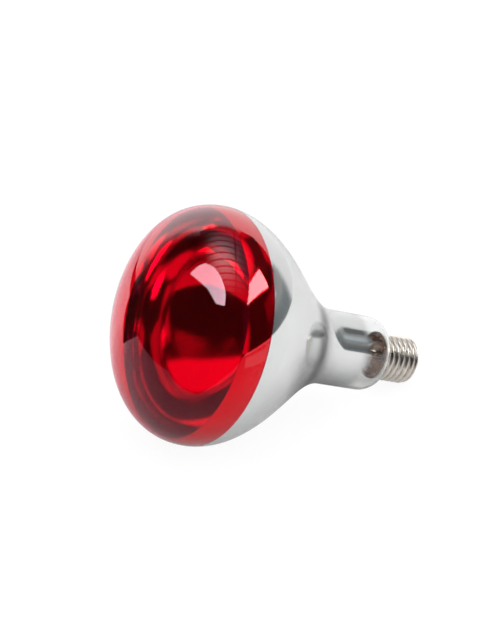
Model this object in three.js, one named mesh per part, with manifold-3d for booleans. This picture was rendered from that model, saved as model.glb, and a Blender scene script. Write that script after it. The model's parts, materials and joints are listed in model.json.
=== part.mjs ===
import * as THREE from 'three';
import { mergeVertices } from 'three/addons/utils/BufferGeometryUtils.js';
import Module from 'manifold-3d';

// An infrared reflector lamp with an E27 screw cap, lying on its bulb and its cap. Millimetres, Z up.
// Every piece is drawn along the lamp's own axis: height 0 is the tip of the centre solder and the dome
// is at the far end. The whole lamp is then tilted to where it rests, with its dome facing -Y.

// Blown bulb, measured on its outer surface: cap, shoulder, neck, flare, widest circle and dome
const bulbDiameter = 125;
const lampLength = 181;
const widestHeight = 143.5;
const neckDiameter = 41;
const neckLength = 25;
const shoulderRise = 10;
const shoulderLeave = 6.5;
const shoulderArrive = 5.5;
const flareLeave = 23.5;
const flareArrive = 30;
const domeLeave = 24.5;
const domeArrive = 39;
const glassWall = 1.1;

// Neck of the glass inside the cap, where the stem is fused to it
const collarSetback = 1.7;
const sealTaper = 0.8;
const sealDepth = 3.7;

// Coatings: red on the outside of the dome, mirror on the inside from the neck to past the widest circle
const partingSetback = 1.5;
const coatThickness = 0.2;
const coatGap = 0.2;
const clearBand = 10;
const mirrorDomeShare = 0.3;

// Screw cap, E27: the shell is drawn over the crests of its thread, and what lies inside keeps clear
// of the roots
const capDiameter = 26.4;
const capStart = 7.2;
const capLength = 22.5;
const capWall = 0.4;
const capLip = 2.2;
const capNoseHeight = 1.8;
const skirtHeight = 3.2;
const skirtStandout = 0.15;
const skirtStep = 0.4;
const threadDepth = 1;

// Insulator, centre contact and solder
const contactDiameter = 9.5;
const contactStart = 0.8;
const contactThickness = 0.8;
const contactEdge = 0.3;
const contactMargin = 0.65;
const insulatorWall = 2.2;
const insulatorSeatHeight = 1.3;
const insulatorBoreDiameter = 3.4;
const eyeletWall = 0.5;
const eyeletHeight = 2.6;
const solderDiameter = 4.8;
const solderLandDiameter = 2.4;
const solderRim = 0.15;
const solderPlugHeight = 1.4;

// How far the handles of a quarter round reach from its ends
const roundShare = 0.55;

// Cement between glass and cap and below the glass, and side solder
const cementPlugHeight = 5;
const cementSetback = 0.5;
const cementBoreDiameter = 8.4;
const sideLeadSlot = 2.4;
const sideSolderLength = 2.4;
const sideSolderWidth = 3;
const sideSolderHeight = 0.8;

// Wires
const innerLeadDiameter = 1;
const sealWireDiameter = 0.7;
const outerLeadDiameter = 0.5;
const sealWireOverrun = 2.5;
const leadBendRise = 4.5;
const sideLeadDrop = 3.5;
const sideLeadTopGap = 0.8;

// How far a bent wire swings round its bends: 0 is a sharp bend
const wireBendShare = 0.25;

// Glass stem: flare, tube and press, with the wires on both sides of the exhaust tube
const exhaustDiameter = 4;
const exhaustWall = 0.8;
const exhaustLength = 36.6;
const exhaustTip = 2.4;
const leadGap = 0.65;
const leadRoom = 0.85;
const stemWall = 1.3;
const stemFlareHeight = 12;
const stemTubeLength = 14;
const stemRoof = 2.2;
const pressWidth = 15;
const pressDepth = 4.6;
const pressHeight = 11;
const pressCorner = 1.8;

// Coiled filament on its hooks
const filamentHeight = 101;
const filamentRingDiameter = 27;
const filamentOpeningDegrees = 52;
const filamentWireDiameter = 0.45;
const coilDiameter = 2.1;
const coilPitch = 1.75;
const coilTail = 1;
const hookCount = 5;
const hookWireDiameter = 0.4;
const hookLoopDegrees = 290;

// Support rod with its button, and the heat shield across the neck
const rodDiameter = 3.2;
const buttonDiameter = 6.4;
const buttonHeight = 4.4;
const buttonRound = 1.1;
const buttonDrop = 4;
const shieldRise = 5.2;
const shieldThickness = 0.5;
const shieldEdgeGap = 0.5;

// Clearances between pieces that are fused, soldered or pressed together on the real lamp
const fitGap = 0.3;
const cutOverrun = 1;

// Places that follow from these sizes, from the cap to the dome
const capRadius = capDiameter / 2;
const capEnd = capStart + capLength;
const noseEnd = capStart + capNoseHeight;
const rootRadius = capRadius - threadDepth - capWall;
const skirtStart = capEnd - skirtHeight;
const mouthRadius = capRadius - capLip;
const shoulderHeight = capEnd + fitGap;
const sealHeight = capEnd - sealDepth;
const cementPlugTop = sealHeight - fitGap;
const cementBottom = cementPlugTop - cementPlugHeight;
const collarRadius = capRadius - collarSetback;
const sealRadius = collarRadius - sealTaper;
const neckRadius = neckDiameter / 2;
const neckStart = shoulderHeight + shoulderRise;
const neckEnd = neckStart + neckLength;
const bulbRadius = bulbDiameter / 2;
const partingHeight = widestHeight - partingSetback;
const mirrorStart = neckStart + clearBand;
const mirrorEnd = widestHeight + mirrorDomeShare * (lampLength - widestHeight);
const leadX = exhaustDiameter / 2 + leadGap + sealWireDiameter / 2;
const stemRadius = leadX + sealWireDiameter / 2 + leadRoom + stemWall;
const stemStart = sealHeight + stemFlareHeight;
const stemEnd = stemStart + stemTubeLength;
const stemHollowTop = stemEnd - stemRoof / 2;
const exhaustTop = stemHollowTop - fitGap;
const exhaustStart = exhaustTop - exhaustLength;
const pressTop = stemEnd + pressHeight;
const sealWireStart = stemHollowTop - sealWireOverrun;
const sealWireEnd = pressTop + sealWireOverrun;
const innerLeadStart = sealWireEnd + fitGap;
const shieldHeight = innerLeadStart + shieldRise;
const shieldTop = shieldHeight + shieldThickness;
const buttonTop = filamentHeight - buttonDrop;

// Facets
const roundSteps = 36;
const slimSteps = 24;
const wireSides = 8;
const hookSides = 6;
const coilSides = 5;
const stepsPerCurl = 8;
const leadSteps = 16;
const hookSteps = 22;
const pressCornerSteps = 3;
const shoulderSteps = 5;
const flareSteps = 9;
const domeSteps = 9;
const samplesPerStep = 6;
const tiltHalvings = 50;

const materials = {
  clearGlass: surface('#dfe7e6', 0.05, 0),
  stemGlass: surface('#cfdcd8', 0.1, 0),
  redCoat: surface('#b00812', 0.08, 0),
  mirror: surface('#d9dbdc', 0.2, 1),
  nickelPlate: surface('#cfc8bd', 0.25, 1),
  blackGlass: surface('#17181a', 0.2, 0),
  brass: surface('#b99a5b', 0.3, 1),
  solder: surface('#b9b8b4', 0.35, 1),
  cement: surface('#8c6a4c', 0.9, 0),
  mica: surface('#9b7a55', 0.5, 0),
  nickel: surface('#a8a49c', 0.3, 1),
  copper: surface('#b5673f', 0.35, 1),
  molybdenum: surface('#8d8f92', 0.4, 1),
  tungsten: surface('#6f7072', 0.5, 1),
};

function surface(color, roughness, metalness) {
  return new THREE.MeshStandardMaterial({ color, roughness, metalness });
}

// Outlines: a point is (radius, height), and an outline runs from the cap to the dome

function point(radius, height) {
  return new THREE.Vector2(radius, height);
}

function bow(from, leave, arrive, to, steps) {
  return new THREE.CubicBezierCurve(from, leave, arrive, to).getPoints(steps);
}

function shoulderCurve() {
  const from = point(collarRadius, shoulderHeight);
  const leave = point(collarRadius + shoulderLeave, shoulderHeight);
  const arrive = point(neckRadius, neckStart - shoulderArrive);
  return bow(from, leave, arrive, point(neckRadius, neckStart), shoulderSteps);
}

function flareCurve() {
  const leave = point(neckRadius, neckEnd + flareLeave);
  const arrive = point(bulbRadius, widestHeight - flareArrive);
  return bow(point(neckRadius, neckEnd), leave, arrive, point(bulbRadius, widestHeight), flareSteps);
}

function domeCurve() {
  const leave = point(bulbRadius, widestHeight + domeLeave);
  const arrive = point(domeArrive, lampLength);
  return bow(point(bulbRadius, widestHeight), leave, arrive, point(0, lampLength), domeSteps);
}

function bulbSurface() {
  const seal = [point(sealRadius, sealHeight), point(collarRadius, capEnd)];
  return [...seal, ...shoulderCurve(), ...flareCurve(), ...domeCurve().slice(1)];
}

// The same outline moved towards the axis, square to itself
function inset(outline, depth) {
  return outline.map((here, index) => {
    const before = outline[Math.max(index - 1, 0)];
    const after = outline[Math.min(index + 1, outline.length - 1)];
    const along = after.clone().sub(before).normalize();
    if (here.x === 0) along.set(-1, 0);
    return point(Math.max(here.x - along.y * depth, 0), here.y + along.x * depth);
  });
}

function atHeight(outline, height) {
  const next = outline.findIndex((here) => here.y >= height);
  const from = outline[next - 1];
  const to = outline[next];
  return from.clone().lerp(to, (height - from.y) / (to.y - from.y));
}

function below(outline, height) {
  return [...outline.filter((here) => here.y < height), atHeight(outline, height)];
}

function above(outline, height) {
  return [atHeight(outline, height), ...outline.filter((here) => here.y > height)];
}

function between(outline, low, high) {
  return below(above(outline, low), high);
}

// Solids

// A turned piece. Its flats lie at the drawn radius, and one of them faces -Y.
function turned(outline, steps) {
  const flatToCorner = 1 / Math.cos(Math.PI / steps);
  const corners = outline.map((here) => point(here.x * flatToCorner, here.y));
  const geometry = new THREE.LatheGeometry(corners, steps, -Math.PI / steps);
  return geometry.rotateX(Math.PI / 2);
}

function ring(outline, steps) {
  return turned([...outline, outline[0]], steps);
}

function wire(path, diameter, sides, steps) {
  const corners = Array.from({ length: sides }, (_, side) => {
    const angle = (2 * Math.PI * side) / sides;
    return point(Math.cos(angle), Math.sin(angle)).multiplyScalar(diameter / 2);
  });
  path.arcLengthDivisions = steps * samplesPerStep;
  return new THREE.ExtrudeGeometry(new THREE.Shape(corners), { steps, extrudePath: path });
}

function bentWire(points, diameter, sides, steps) {
  return wire(new THREE.CatmullRomCurve3(points, false, 'catmullrom', wireBendShare), diameter, sides, steps);
}

function straightWire(x, y, from, to, diameter) {
  const path = new THREE.LineCurve3(new THREE.Vector3(x, y, from), new THREE.Vector3(x, y, to));
  return wire(path, diameter, wireSides, 1);
}

function column(x, y, from, to, diameter, sides) {
  const geometry = new THREE.CylinderGeometry(diameter / 2, diameter / 2, to - from, sides);
  return geometry.rotateX(Math.PI / 2).translate(x, y, (from + to) / 2);
}

const kernel = await Module();
kernel.setup();

function toSolid(geometry) {
  const bare = geometry.clone();
  bare.deleteAttribute('normal');
  bare.deleteAttribute('uv');
  const merged = mergeVertices(bare);
  const vertProperties = new Float32Array(merged.attributes.position.array);
  const triVerts = new Uint32Array(merged.index.array);
  return new kernel.Manifold(new kernel.Mesh({ numProp: 3, vertProperties, triVerts }));
}

function toGeometry(solid) {
  const mesh = solid.getMesh();
  const geometry = new THREE.BufferGeometry();
  geometry.setAttribute('position', new THREE.BufferAttribute(mesh.vertProperties, 3));
  geometry.setIndex(new THREE.BufferAttribute(mesh.triVerts, 1));
  return geometry;
}

function cut(geometry, tools) {
  return toGeometry(tools.reduce((solid, tool) => solid.subtract(toSolid(tool)), toSolid(geometry)));
}

const lamp = new THREE.Group();

function add(name, geometry, material) {
  const mesh = new THREE.Mesh(geometry, material);
  mesh.name = name;
  lamp.add(mesh);
}

// Bulb: the glass is set back under the red coat, so that the coat carries the outer surface on smoothly

const outerSurface = bulbSurface();
const innerSurface = inset(outerSurface, glassWall);

function addBulb() {
  const underCoat = above(inset(outerSurface, coatThickness + coatGap), partingHeight);
  const outside = [...below(outerSurface, partingHeight), ...underCoat];
  add('glass_bulb', turned([...innerSurface.toReversed(), ...outside], roundSteps), materials.clearGlass);
}

function addRedCoat() {
  const edge = partingHeight + coatGap;
  const outside = above(outerSurface, edge);
  const inside = above(inset(outerSurface, coatThickness), edge);
  add('red_coating', turned([...inside.toReversed(), ...outside], roundSteps), materials.redCoat);
}

function addMirror() {
  const outside = between(inset(innerSurface, coatGap), mirrorStart, mirrorEnd);
  const inside = between(inset(innerSurface, coatGap + coatThickness), mirrorStart, mirrorEnd);
  add('mirror_coating', ring([...outside, ...inside.toReversed()], roundSteps), materials.mirror);
}

// Screw cap

function capOutline() {
  const nose = bow(
    point(mouthRadius, capStart),
    point((mouthRadius + capRadius) / 2, capStart),
    point(capRadius, (capStart + noseEnd) / 2),
    point(capRadius, noseEnd),
    shoulderSteps,
  );
  const skirtRadius = capRadius + skirtStandout;
  const skirt = [
    point(capRadius, skirtStart),
    point(skirtRadius, skirtStart + skirtStep),
    point(skirtRadius, capEnd),
  ];
  return [...nose, ...skirt];
}

function addCapShell() {
  const outside = capOutline();
  const inside = inset(outside, capWall);
  add('cap_shell', ring([...outside, ...inside.toReversed()], roundSteps), materials.nickelPlate);
}

function addInsulator() {
  const foot = contactDiameter / 2 + contactMargin;
  const start = contactStart + contactThickness + fitGap;
  const mouth = mouthRadius - fitGap;
  const seat = rootRadius - fitGap;
  const seatStart = noseEnd + fitGap;
  const bore = insulatorBoreDiameter / 2;
  const outside = [
    point(bore, start),
    point(foot, start),
    point(mouth, capStart - fitGap),
    point(mouth, capStart + capWall + fitGap),
    point(seat, seatStart),
    point(seat, seatStart + insulatorSeatHeight),
  ];
  const inside = [
    point(mouth - insulatorWall, seatStart + insulatorSeatHeight),
    point(foot, start + insulatorWall),
    point(bore, start + insulatorWall),
  ];
  add('cap_insulator', ring([...outside, ...inside], roundSteps), materials.blackGlass);
}

function addContact() {
  const plate = contactDiameter / 2;
  const back = contactStart + contactThickness;
  const eyelet = insulatorBoreDiameter / 2 - fitGap;
  const outline = [
    point(eyelet - eyeletWall, contactStart),
    point(plate - contactEdge, contactStart),
    point(plate, contactStart + contactEdge),
    point(plate, back),
    point(eyelet, back),
    point(eyelet, back + eyeletHeight),
    point(eyelet - eyeletWall, back + eyeletHeight),
  ];
  add('centre_contact', ring(outline, slimSteps), materials.brass);
}

function addCentreSolder() {
  const plug = insulatorBoreDiameter / 2 - fitGap - eyeletWall - fitGap;
  const rim = solderDiameter / 2;
  const land = solderLandDiameter / 2;
  const underside = contactStart - fitGap;
  const shoulder = point(rim, underside - solderRim);
  const outline = [
    point(0, 0),
    ...bow(point(land, 0), point((land + rim) / 2, 0), point(rim, 0), shoulder, shoulderSteps),
    point(rim, underside),
    point(plug, underside),
    point(plug, contactStart + solderPlugHeight),
    point(0, contactStart + solderPlugHeight),
  ];
  add('centre_solder', turned(outline, slimSteps), materials.solder);
}

const sideLeadRadius = (collarRadius + capRadius - capWall) / 2;

function addCement() {
  const top = capEnd - cementSetback;
  const bore = cementBoreDiameter / 2;
  const shell = capRadius - capWall - fitGap;
  const outside = [
    point(bore, cementBottom),
    point(rootRadius - fitGap, cementBottom),
    point(rootRadius - fitGap, skirtStart),
    point(shell, skirtStart),
    point(shell, top),
  ];
  const inside = [
    point(collarRadius + fitGap, top),
    point(sealRadius + fitGap, cementPlugTop),
    point(bore, cementPlugTop),
  ];
  const from = cementBottom - cutOverrun;
  const slot = column(-sideLeadRadius, 0, from, top + cutOverrun, sideLeadSlot, wireSides);
  add('basing_cement', cut(ring([...outside, ...inside], roundSteps), [slot]), materials.cement);
}

// A drop of solder on the outside of the skirt, where the side lead is joined to the shell
function addSideSolder() {
  const standout = capRadius + skirtStandout + fitGap;
  const rim = point(1, 0);
  const crown = bow(rim, point(1, roundShare), point(roundShare, 1), point(0, 1), shoulderSteps);
  const drop = turned([point(0, 0), ...crown], slimSteps / 2);
  drop.scale(sideSolderWidth / 2, sideSolderLength / 2, sideSolderHeight);
  drop.rotateY(-Math.PI / 2).translate(-standout, 0, capEnd - sideSolderWidth / 2);
  add('side_solder', drop, materials.solder);
}

// Glass stem

function stemTube() {
  const foot = point(sealRadius - glassWall - fitGap, sealHeight);
  const half = (sealHeight + stemStart) / 2;
  const top = point(stemRadius, stemStart);
  const flare = bow(foot, point(foot.x, half), point(stemRadius, half), top, shoulderSteps);
  const outside = [...flare, point(stemRadius, stemEnd)];
  const inside = [...inset(flare, stemWall), point(stemRadius - stemWall, stemHollowTop)];
  const roofTop = stemEnd + stemRoof / 2;
  const hollow = [point(0, stemHollowTop), ...inside.toReversed()];
  return turned([...hollow, ...outside, point(stemRadius / 2, roofTop), point(0, roofTop)], slimSteps);
}

function press() {
  const x = pressWidth / 2;
  const y = pressDepth / 2;
  const c = pressCorner;
  const outline = new THREE.Shape();
  outline.moveTo(-x + c, -y);
  outline.lineTo(x - c, -y);
  outline.absarc(x - c, -y + c, c, -Math.PI / 2, 0);
  outline.absarc(x - c, y - c, c, 0, Math.PI / 2);
  outline.absarc(-x + c, y - c, c, Math.PI / 2, Math.PI);
  outline.absarc(-x + c, -y + c, c, Math.PI, -Math.PI / 2);
  const settings = { depth: pressHeight, bevelEnabled: false, curveSegments: pressCornerSteps };
  return new THREE.ExtrudeGeometry(outline, settings).translate(0, 0, stemEnd);
}

function addStem() {
  const bore = sealWireDiameter + fitGap + fitGap;
  const from = stemHollowTop - cutOverrun;
  const bores = [-leadX, leadX].map((x) => column(x, 0, from, pressTop + cutOverrun, bore, wireSides));
  const solid = toSolid(stemTube()).add(toSolid(press()));
  add('glass_stem', cut(toGeometry(solid), bores), materials.stemGlass);
}

function addExhaustTube() {
  const outer = exhaustDiameter / 2;
  const inner = outer - exhaustWall;
  const outline = [
    point(0, exhaustStart + exhaustTip),
    point(inner, exhaustStart + exhaustTip + exhaustWall),
    point(inner, exhaustTop),
    point(outer, exhaustTop),
    point(outer, exhaustStart + exhaustTip),
    point(0, exhaustStart),
  ];
  add('exhaust_tube', turned(outline.toReversed(), wireSides), materials.stemGlass);
}

function addSupportRod() {
  const rod = rodDiameter / 2;
  const button = buttonDiameter / 2;
  const from = buttonTop - buttonHeight;
  const outline = [
    point(0, pressTop + fitGap),
    point(rod, pressTop + fitGap),
    point(rod, from - buttonRound),
    point(button - buttonRound, from),
    point(button, from + buttonRound),
    point(button, buttonTop - buttonRound),
    point(button - buttonRound, buttonTop),
    point(0, buttonTop),
  ];
  add('support_rod', turned(outline, slimSteps / 2), materials.stemGlass);
}

function addHeatShield() {
  const room = coatGap + coatThickness + shieldEdgeGap;
  const radius = atHeight(innerSurface, shieldHeight).x - room;
  const underside = [point(0, shieldHeight), point(radius, shieldHeight)];
  const disc = turned([...underside, point(radius, shieldTop), point(0, shieldTop)], roundSteps);
  const hole = (x, diameter, sides) =>
    column(x, 0, shieldHeight - cutOverrun, shieldTop + cutOverrun, diameter + fitGap + fitGap, sides);
  const leadHoles = [-leadX, leadX].map((x) => hole(x, innerLeadDiameter, wireSides));
  add('heat_shield', cut(disc, [hole(0, rodDiameter, slimSteps), ...leadHoles]), materials.mica);
}

// Wires: each lead is an outer wire, a seal wire through the press and an inner wire to the filament

const ringRadius = filamentRingDiameter / 2;
const openingHalf = THREE.MathUtils.degToRad(filamentOpeningDegrees / 2);
const arcStart = -Math.PI / 2 + openingHalf;
const arcSweep = 2 * Math.PI - 2 * openingHalf;

// A place on the filament's ring: along it by an angle, out from it and up from it
function onRing(angle, out, up) {
  const radius = ringRadius + out;
  return new THREE.Vector3(radius * Math.cos(angle), radius * Math.sin(angle), filamentHeight + up);
}

function addInnerLead(name, side) {
  const clear = (coilTail + fitGap + innerLeadDiameter / 2) / ringRadius;
  const angle = side > 0 ? arcStart - clear : arcStart + arcSweep + clear;
  const points = [
    new THREE.Vector3(side * leadX, 0, innerLeadStart),
    new THREE.Vector3(side * leadX, 0, shieldTop),
    new THREE.Vector3(side * leadX, 0, shieldTop + leadBendRise),
    onRing(angle, 0, -coilDiameter - innerLeadDiameter),
    onRing(angle, 0, coilDiameter / 2),
  ];
  add(name, bentWire(points, innerLeadDiameter, wireSides, leadSteps), materials.nickel);
}

function addOuterLeads() {
  const top = sealWireStart - fitGap;
  const centre = [
    new THREE.Vector3(leadX, 0, top),
    new THREE.Vector3(leadX, 0, exhaustStart),
    new THREE.Vector3(0, 0, (exhaustStart + contactStart) / 2),
    new THREE.Vector3(0, 0, contactStart + solderPlugHeight + fitGap),
  ];
  add('outer_lead_centre', bentWire(centre, outerLeadDiameter, hookSides, leadSteps), materials.copper);
  const side = [
    new THREE.Vector3(-leadX, 0, top),
    new THREE.Vector3(-leadX, 0, cementBottom),
    new THREE.Vector3(-(leadX + sideLeadRadius) / 2, 0, cementBottom - sideLeadDrop),
    new THREE.Vector3(-sideLeadRadius, 0, cementBottom),
    new THREE.Vector3(-sideLeadRadius, 0, capEnd - sideLeadTopGap),
  ];
  add('outer_lead_side', bentWire(side, outerLeadDiameter, hookSides, leadSteps), materials.copper);
}

function addLeads() {
  for (const [word, side] of [['left', -1], ['right', 1]]) {
    const seal = straightWire(side * leadX, 0, sealWireStart, sealWireEnd, sealWireDiameter);
    add(`seal_wire_${word}`, seal, materials.copper);
    addInnerLead(`inner_lead_${word}`, side);
  }
  addOuterLeads();
}

// Filament: one wire wound in a coil along most of a ring, with a straight tail at each end

const coilLength = arcSweep * ringRadius;
const curls = Math.round(coilLength / coilPitch);
const coilRadius = (coilDiameter - filamentWireDiameter) / 2;

class CoilPath extends THREE.Curve {
  getPoint(share) {
    const tailShare = coilTail / (coilLength + coilTail + coilTail);
    const wound = THREE.MathUtils.clamp((share - tailShare) / (1 - 2 * tailShare), 0, 1);
    const turn = 2 * Math.PI * curls * wound;
    const angle = arcStart + arcSweep * wound;
    const here = onRing(angle, coilRadius * Math.sin(turn), coilRadius * Math.cos(turn));
    const forward = new THREE.Vector3(-Math.sin(angle), Math.cos(angle), 0);
    const past = Math.max(share - 1 + tailShare, 0) - Math.max(tailShare - share, 0);
    return here.addScaledVector(forward, (past / tailShare) * coilTail);
  }
}

// The least distance between two stretches of the wire that lie more than half a curl of it apart
function leastGap(path) {
  const points = path.getSpacedPoints(curls * stepsPerCurl * 2);
  const halfCurl = Math.PI * coilRadius;
  const skip = Math.ceil((points.length * halfCurl) / path.getLength());
  let least = Infinity;
  points.forEach((here, index) => {
    for (const there of points.slice(index + skip)) least = Math.min(least, here.distanceTo(there));
  });
  return least - filamentWireDiameter;
}

function addFilament() {
  const path = new CoilPath();
  path.arcLengthDivisions = curls * stepsPerCurl * samplesPerStep;
  console.log(`filament: ${curls} curls, least gap to itself ${leastGap(path).toFixed(2)} mm`);
  const steps = (curls + 1) * stepsPerCurl;
  add('filament', wire(path, filamentWireDiameter, coilSides, steps), materials.tungsten);
}

// Hooks: each wire runs out from the button and ends in an open loop round the coil
function hookPoints(angle) {
  const loopRadius = (coilDiameter + hookWireDiameter) / 2 + fitGap;
  const loopStart = -Math.PI / 2;
  const sweep = THREE.MathUtils.degToRad(hookLoopDegrees);
  const loopSteps = wireSides;
  const loop = Array.from({ length: loopSteps + 1 }, (_, step) => {
    const turn = loopStart + (sweep * step) / loopSteps;
    return onRing(angle, loopRadius * Math.cos(turn), loopRadius * Math.sin(turn));
  });
  const fromButton = buttonDiameter / 2 + fitGap - ringRadius;
  const rise = buttonTop - buttonHeight / 2 - filamentHeight;
  return [onRing(angle, fromButton, rise), onRing(angle, fromButton / 2, (rise - loopRadius) / 2), ...loop];
}

function addHooks() {
  for (let hook = 1; hook <= hookCount; hook += 1) {
    const curl = Math.round((curls * hook) / (hookCount + 1));
    const points = hookPoints(arcStart + (arcSweep * curl) / curls);
    const geometry = bentWire(points, hookWireDiameter, hookSides, hookSteps);
    add(`filament_hook_${hook}`, geometry, materials.molybdenum);
  }
}

addBulb();
addRedCoat();
addMirror();
addCapShell();
addInsulator();
addContact();
addCentreSolder();
addCement();
addSideSolder();
addStem();
addExhaustTube();
addSupportRod();
addHeatShield();
addLeads();
addFilament();
addHooks();

// Rest: the lamp tilts until its bulb and its cap touch the same level surface

function reachBelowAxis(outline, tilt) {
  return Math.max(...outline.map((here) => here.x * Math.cos(tilt) - here.y * Math.sin(tilt)));
}

function restTilt() {
  let low = 0;
  let high = Math.atan(bulbDiameter / lampLength);
  for (let halving = 0; halving < tiltHalvings; halving += 1) {
    const tilt = (low + high) / 2;
    if (reachBelowAxis(capOutline(), tilt) > reachBelowAxis(outerSurface, tilt)) high = tilt;
    else low = tilt;
  }
  return (low + high) / 2;
}

const tilt = restTilt();
lamp.rotation.x = Math.PI / 2 - tilt;
const box = new THREE.Box3().setFromObject(lamp, true);
const middle = box.getCenter(new THREE.Vector3());
lamp.position.set(0, -middle.y, -box.min.z);

const object = new THREE.Group();
object.add(lamp);
export default object;
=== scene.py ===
import json
from math import radians

import bpy
import numpy as np
from bpy.props import FloatProperty, FloatVectorProperty, IntProperty, PointerProperty
from bpy.types import Operator, Panel, PropertyGroup
from mathutils import Matrix, Vector


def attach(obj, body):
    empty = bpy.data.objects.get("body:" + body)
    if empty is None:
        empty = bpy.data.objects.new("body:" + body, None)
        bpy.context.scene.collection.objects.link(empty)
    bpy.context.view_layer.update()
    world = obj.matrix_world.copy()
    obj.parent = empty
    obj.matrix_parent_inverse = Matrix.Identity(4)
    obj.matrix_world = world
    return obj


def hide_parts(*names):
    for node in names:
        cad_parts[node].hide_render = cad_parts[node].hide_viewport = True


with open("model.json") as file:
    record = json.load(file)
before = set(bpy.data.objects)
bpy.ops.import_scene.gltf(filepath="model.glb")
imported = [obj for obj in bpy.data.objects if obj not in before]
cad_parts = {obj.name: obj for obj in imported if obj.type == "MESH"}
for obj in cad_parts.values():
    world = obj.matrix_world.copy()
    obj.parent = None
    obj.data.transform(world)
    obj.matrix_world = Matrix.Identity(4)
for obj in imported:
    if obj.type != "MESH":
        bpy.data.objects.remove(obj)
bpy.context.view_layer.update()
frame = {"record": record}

bl_info = {
    "name": "Infrared Reflector Lamp",
    "version": (1, 0, 0),
    "blender": (4, 5, 0),
    "location": "View3D > Sidebar > Heat Lamp",
    "description": "Builds a blown reflector lamp with a ruby dome, a screw cap and its coiled filament",
    "category": "Object",
}

# The lamp's own frame, from the mount in the middle of its screw cap: heights run along the lamp's
# axis from the tip of the centre solder to the dome, and the first axis is the world's X.
CAP_MOUNT = next(m for m in frame["record"]["mounts"] if m["name"] == "screw_cap")
CAP_MOUNT_HEIGHT = 0.018
TO_DOME = -np.array(CAP_MOUNT["axis"]) / np.linalg.norm(CAP_MOUNT["axis"])
TIP = np.array(CAP_MOUNT["pos_m"]) - CAP_MOUNT_HEIGHT * TO_DOME
SIDEWAYS = np.array((1.0, 0.0, 0.0))
AXES = np.stack((SIDEWAYS, np.cross(TO_DOME, SIDEWAYS), TO_DOME))

SHARP_ANGLE = radians(38)
POLE_SIZE = 1e-9

# How far the ruby glass laps into the clear glass, and within what step the film takes its colour
RUBY_LAP = 0.00004
TINT_STEP = 0.00006

# Room between pieces that are hooked, fitted, cemented or fused together, from wide to narrow
LOOSE = 0.0003
FIT = 0.0002
SNUG = 0.00015
HAIR = 0.0001

# Segments round the axis, points along an outline, sides round a wire, and steps between the
# points that a wire is bent through
SEGMENTS = {"dome": 224, "bulb": 208, "shell": 168, "shield": 160, "cap": 128, "contact": 96,
            "stem": 96, "drop": 64, "rod": 48, "side_drop": 48, "pipe": 40, "floor": 64}
POINTS = {"shoulder": 25, "neck": 9, "flare": 65, "dome": 65, "nose": 13, "band": 150, "skirt": 8,
          "corner": 4, "drop": 12, "side_drop": 14, "stem": 20, "press": 16, "button": 16,
          "seal_wire": 12, "curl": 20, "tail": 5, "hook": 9}
SIDES = {"seal_wire": 12, "inner_lead": 14, "outer_lead": 10, "filament": 10, "hook": 10}
BEND_STEPS = {"lead": 14, "hook": 8}


def length(name, text, default):
    return FloatProperty(name=name, description=text, default=default, min=0.0, unit="LENGTH", precision=5)


def amount(name, text, default, low=0.0, high=1.0):
    return FloatProperty(name=name, description=text, default=default, min=low, max=high)


def angle(name, text, degrees):
    return FloatProperty(name=name, description=text, default=radians(degrees), subtype="ANGLE")


def tint(name, text, default):
    return FloatVectorProperty(name=name, description=text, default=default, min=0.0, max=1.0,
                               size=3, subtype="COLOR")


def whole(name, text, default):
    return IntProperty(name=name, description=text, default=default, min=1)


class BulbSizes(PropertyGroup):
    """Blown bulb and its coats, measured on the outer surface of the glass."""

    radius: length("Bulb Radius", "Radius of the widest circle", 0.0625)
    top: length("Lamp Length", "Height of the dome's pole above the tip of the cap", 0.181)
    widest: length("Widest Height", "Height of the widest circle", 0.1435)
    neck_radius: length("Neck Radius", "Radius of the straight neck", 0.0205)
    neck_start: length("Neck Start", "Height where the shoulder meets the neck", 0.040)
    neck_end: length("Neck End", "Height where the neck opens into the flare", 0.065)
    collar_radius: length("Collar Radius", "Radius of the glass where it enters the cap", 0.0115)
    collar_height: length("Collar Height", "Height where the shoulder starts", 0.030)
    seal_radius: length("Seal Radius", "Radius of the glass at the stem's seal", 0.0107)
    seal_height: length("Seal Height", "Height of the stem's seal", 0.026)
    shoulder_leave: length("Shoulder Leave", "How far the shoulder runs outward at its foot", 0.0065)
    shoulder_arrive: length("Shoulder Arrive", "How far the shoulder runs along the neck", 0.0055)
    flare_leave: length("Flare Leave", "How far the flare follows the neck", 0.0235)
    flare_arrive: length("Flare Arrive", "How far the flare follows the widest circle", 0.030)
    dome_leave: length("Dome Leave", "How far the dome follows the widest circle", 0.0245)
    dome_arrive: length("Dome Arrive", "How far the dome runs flat at its pole", 0.039)
    wall: length("Glass Wall", "Thickness of the blown glass", 0.0011)
    parting: length("Parting Height", "Height where the ruby coat starts", 0.142)
    film_start: length("Film Start", "Height where the mirror film starts", 0.0455)
    film_end: length("Film End", "Height where the mirror film ends, under the ruby coat", 0.15475)
    film_fade: length("Film Fade", "How far the film thins out towards the neck's end", 0.008)
    # The ring is painted shade: the film is darkened where the flare leaves the neck, standing in for the
    # reflected shadow under the neck.
    shade_ring_height: length("Ring Height", "Height of the dull ring where the flare leaves the neck", 0.0848)
    shade_ring_width: length("Ring Width", "Half the width of the dull ring", 0.0062)
    shade_ring_depth: amount("Ring Dullness", "How much of its shine the film loses in the ring", 0.95)
    film_bed: length("Film Bed", "How far the film reaches into the glass, and out of it", 0.00012)


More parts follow.
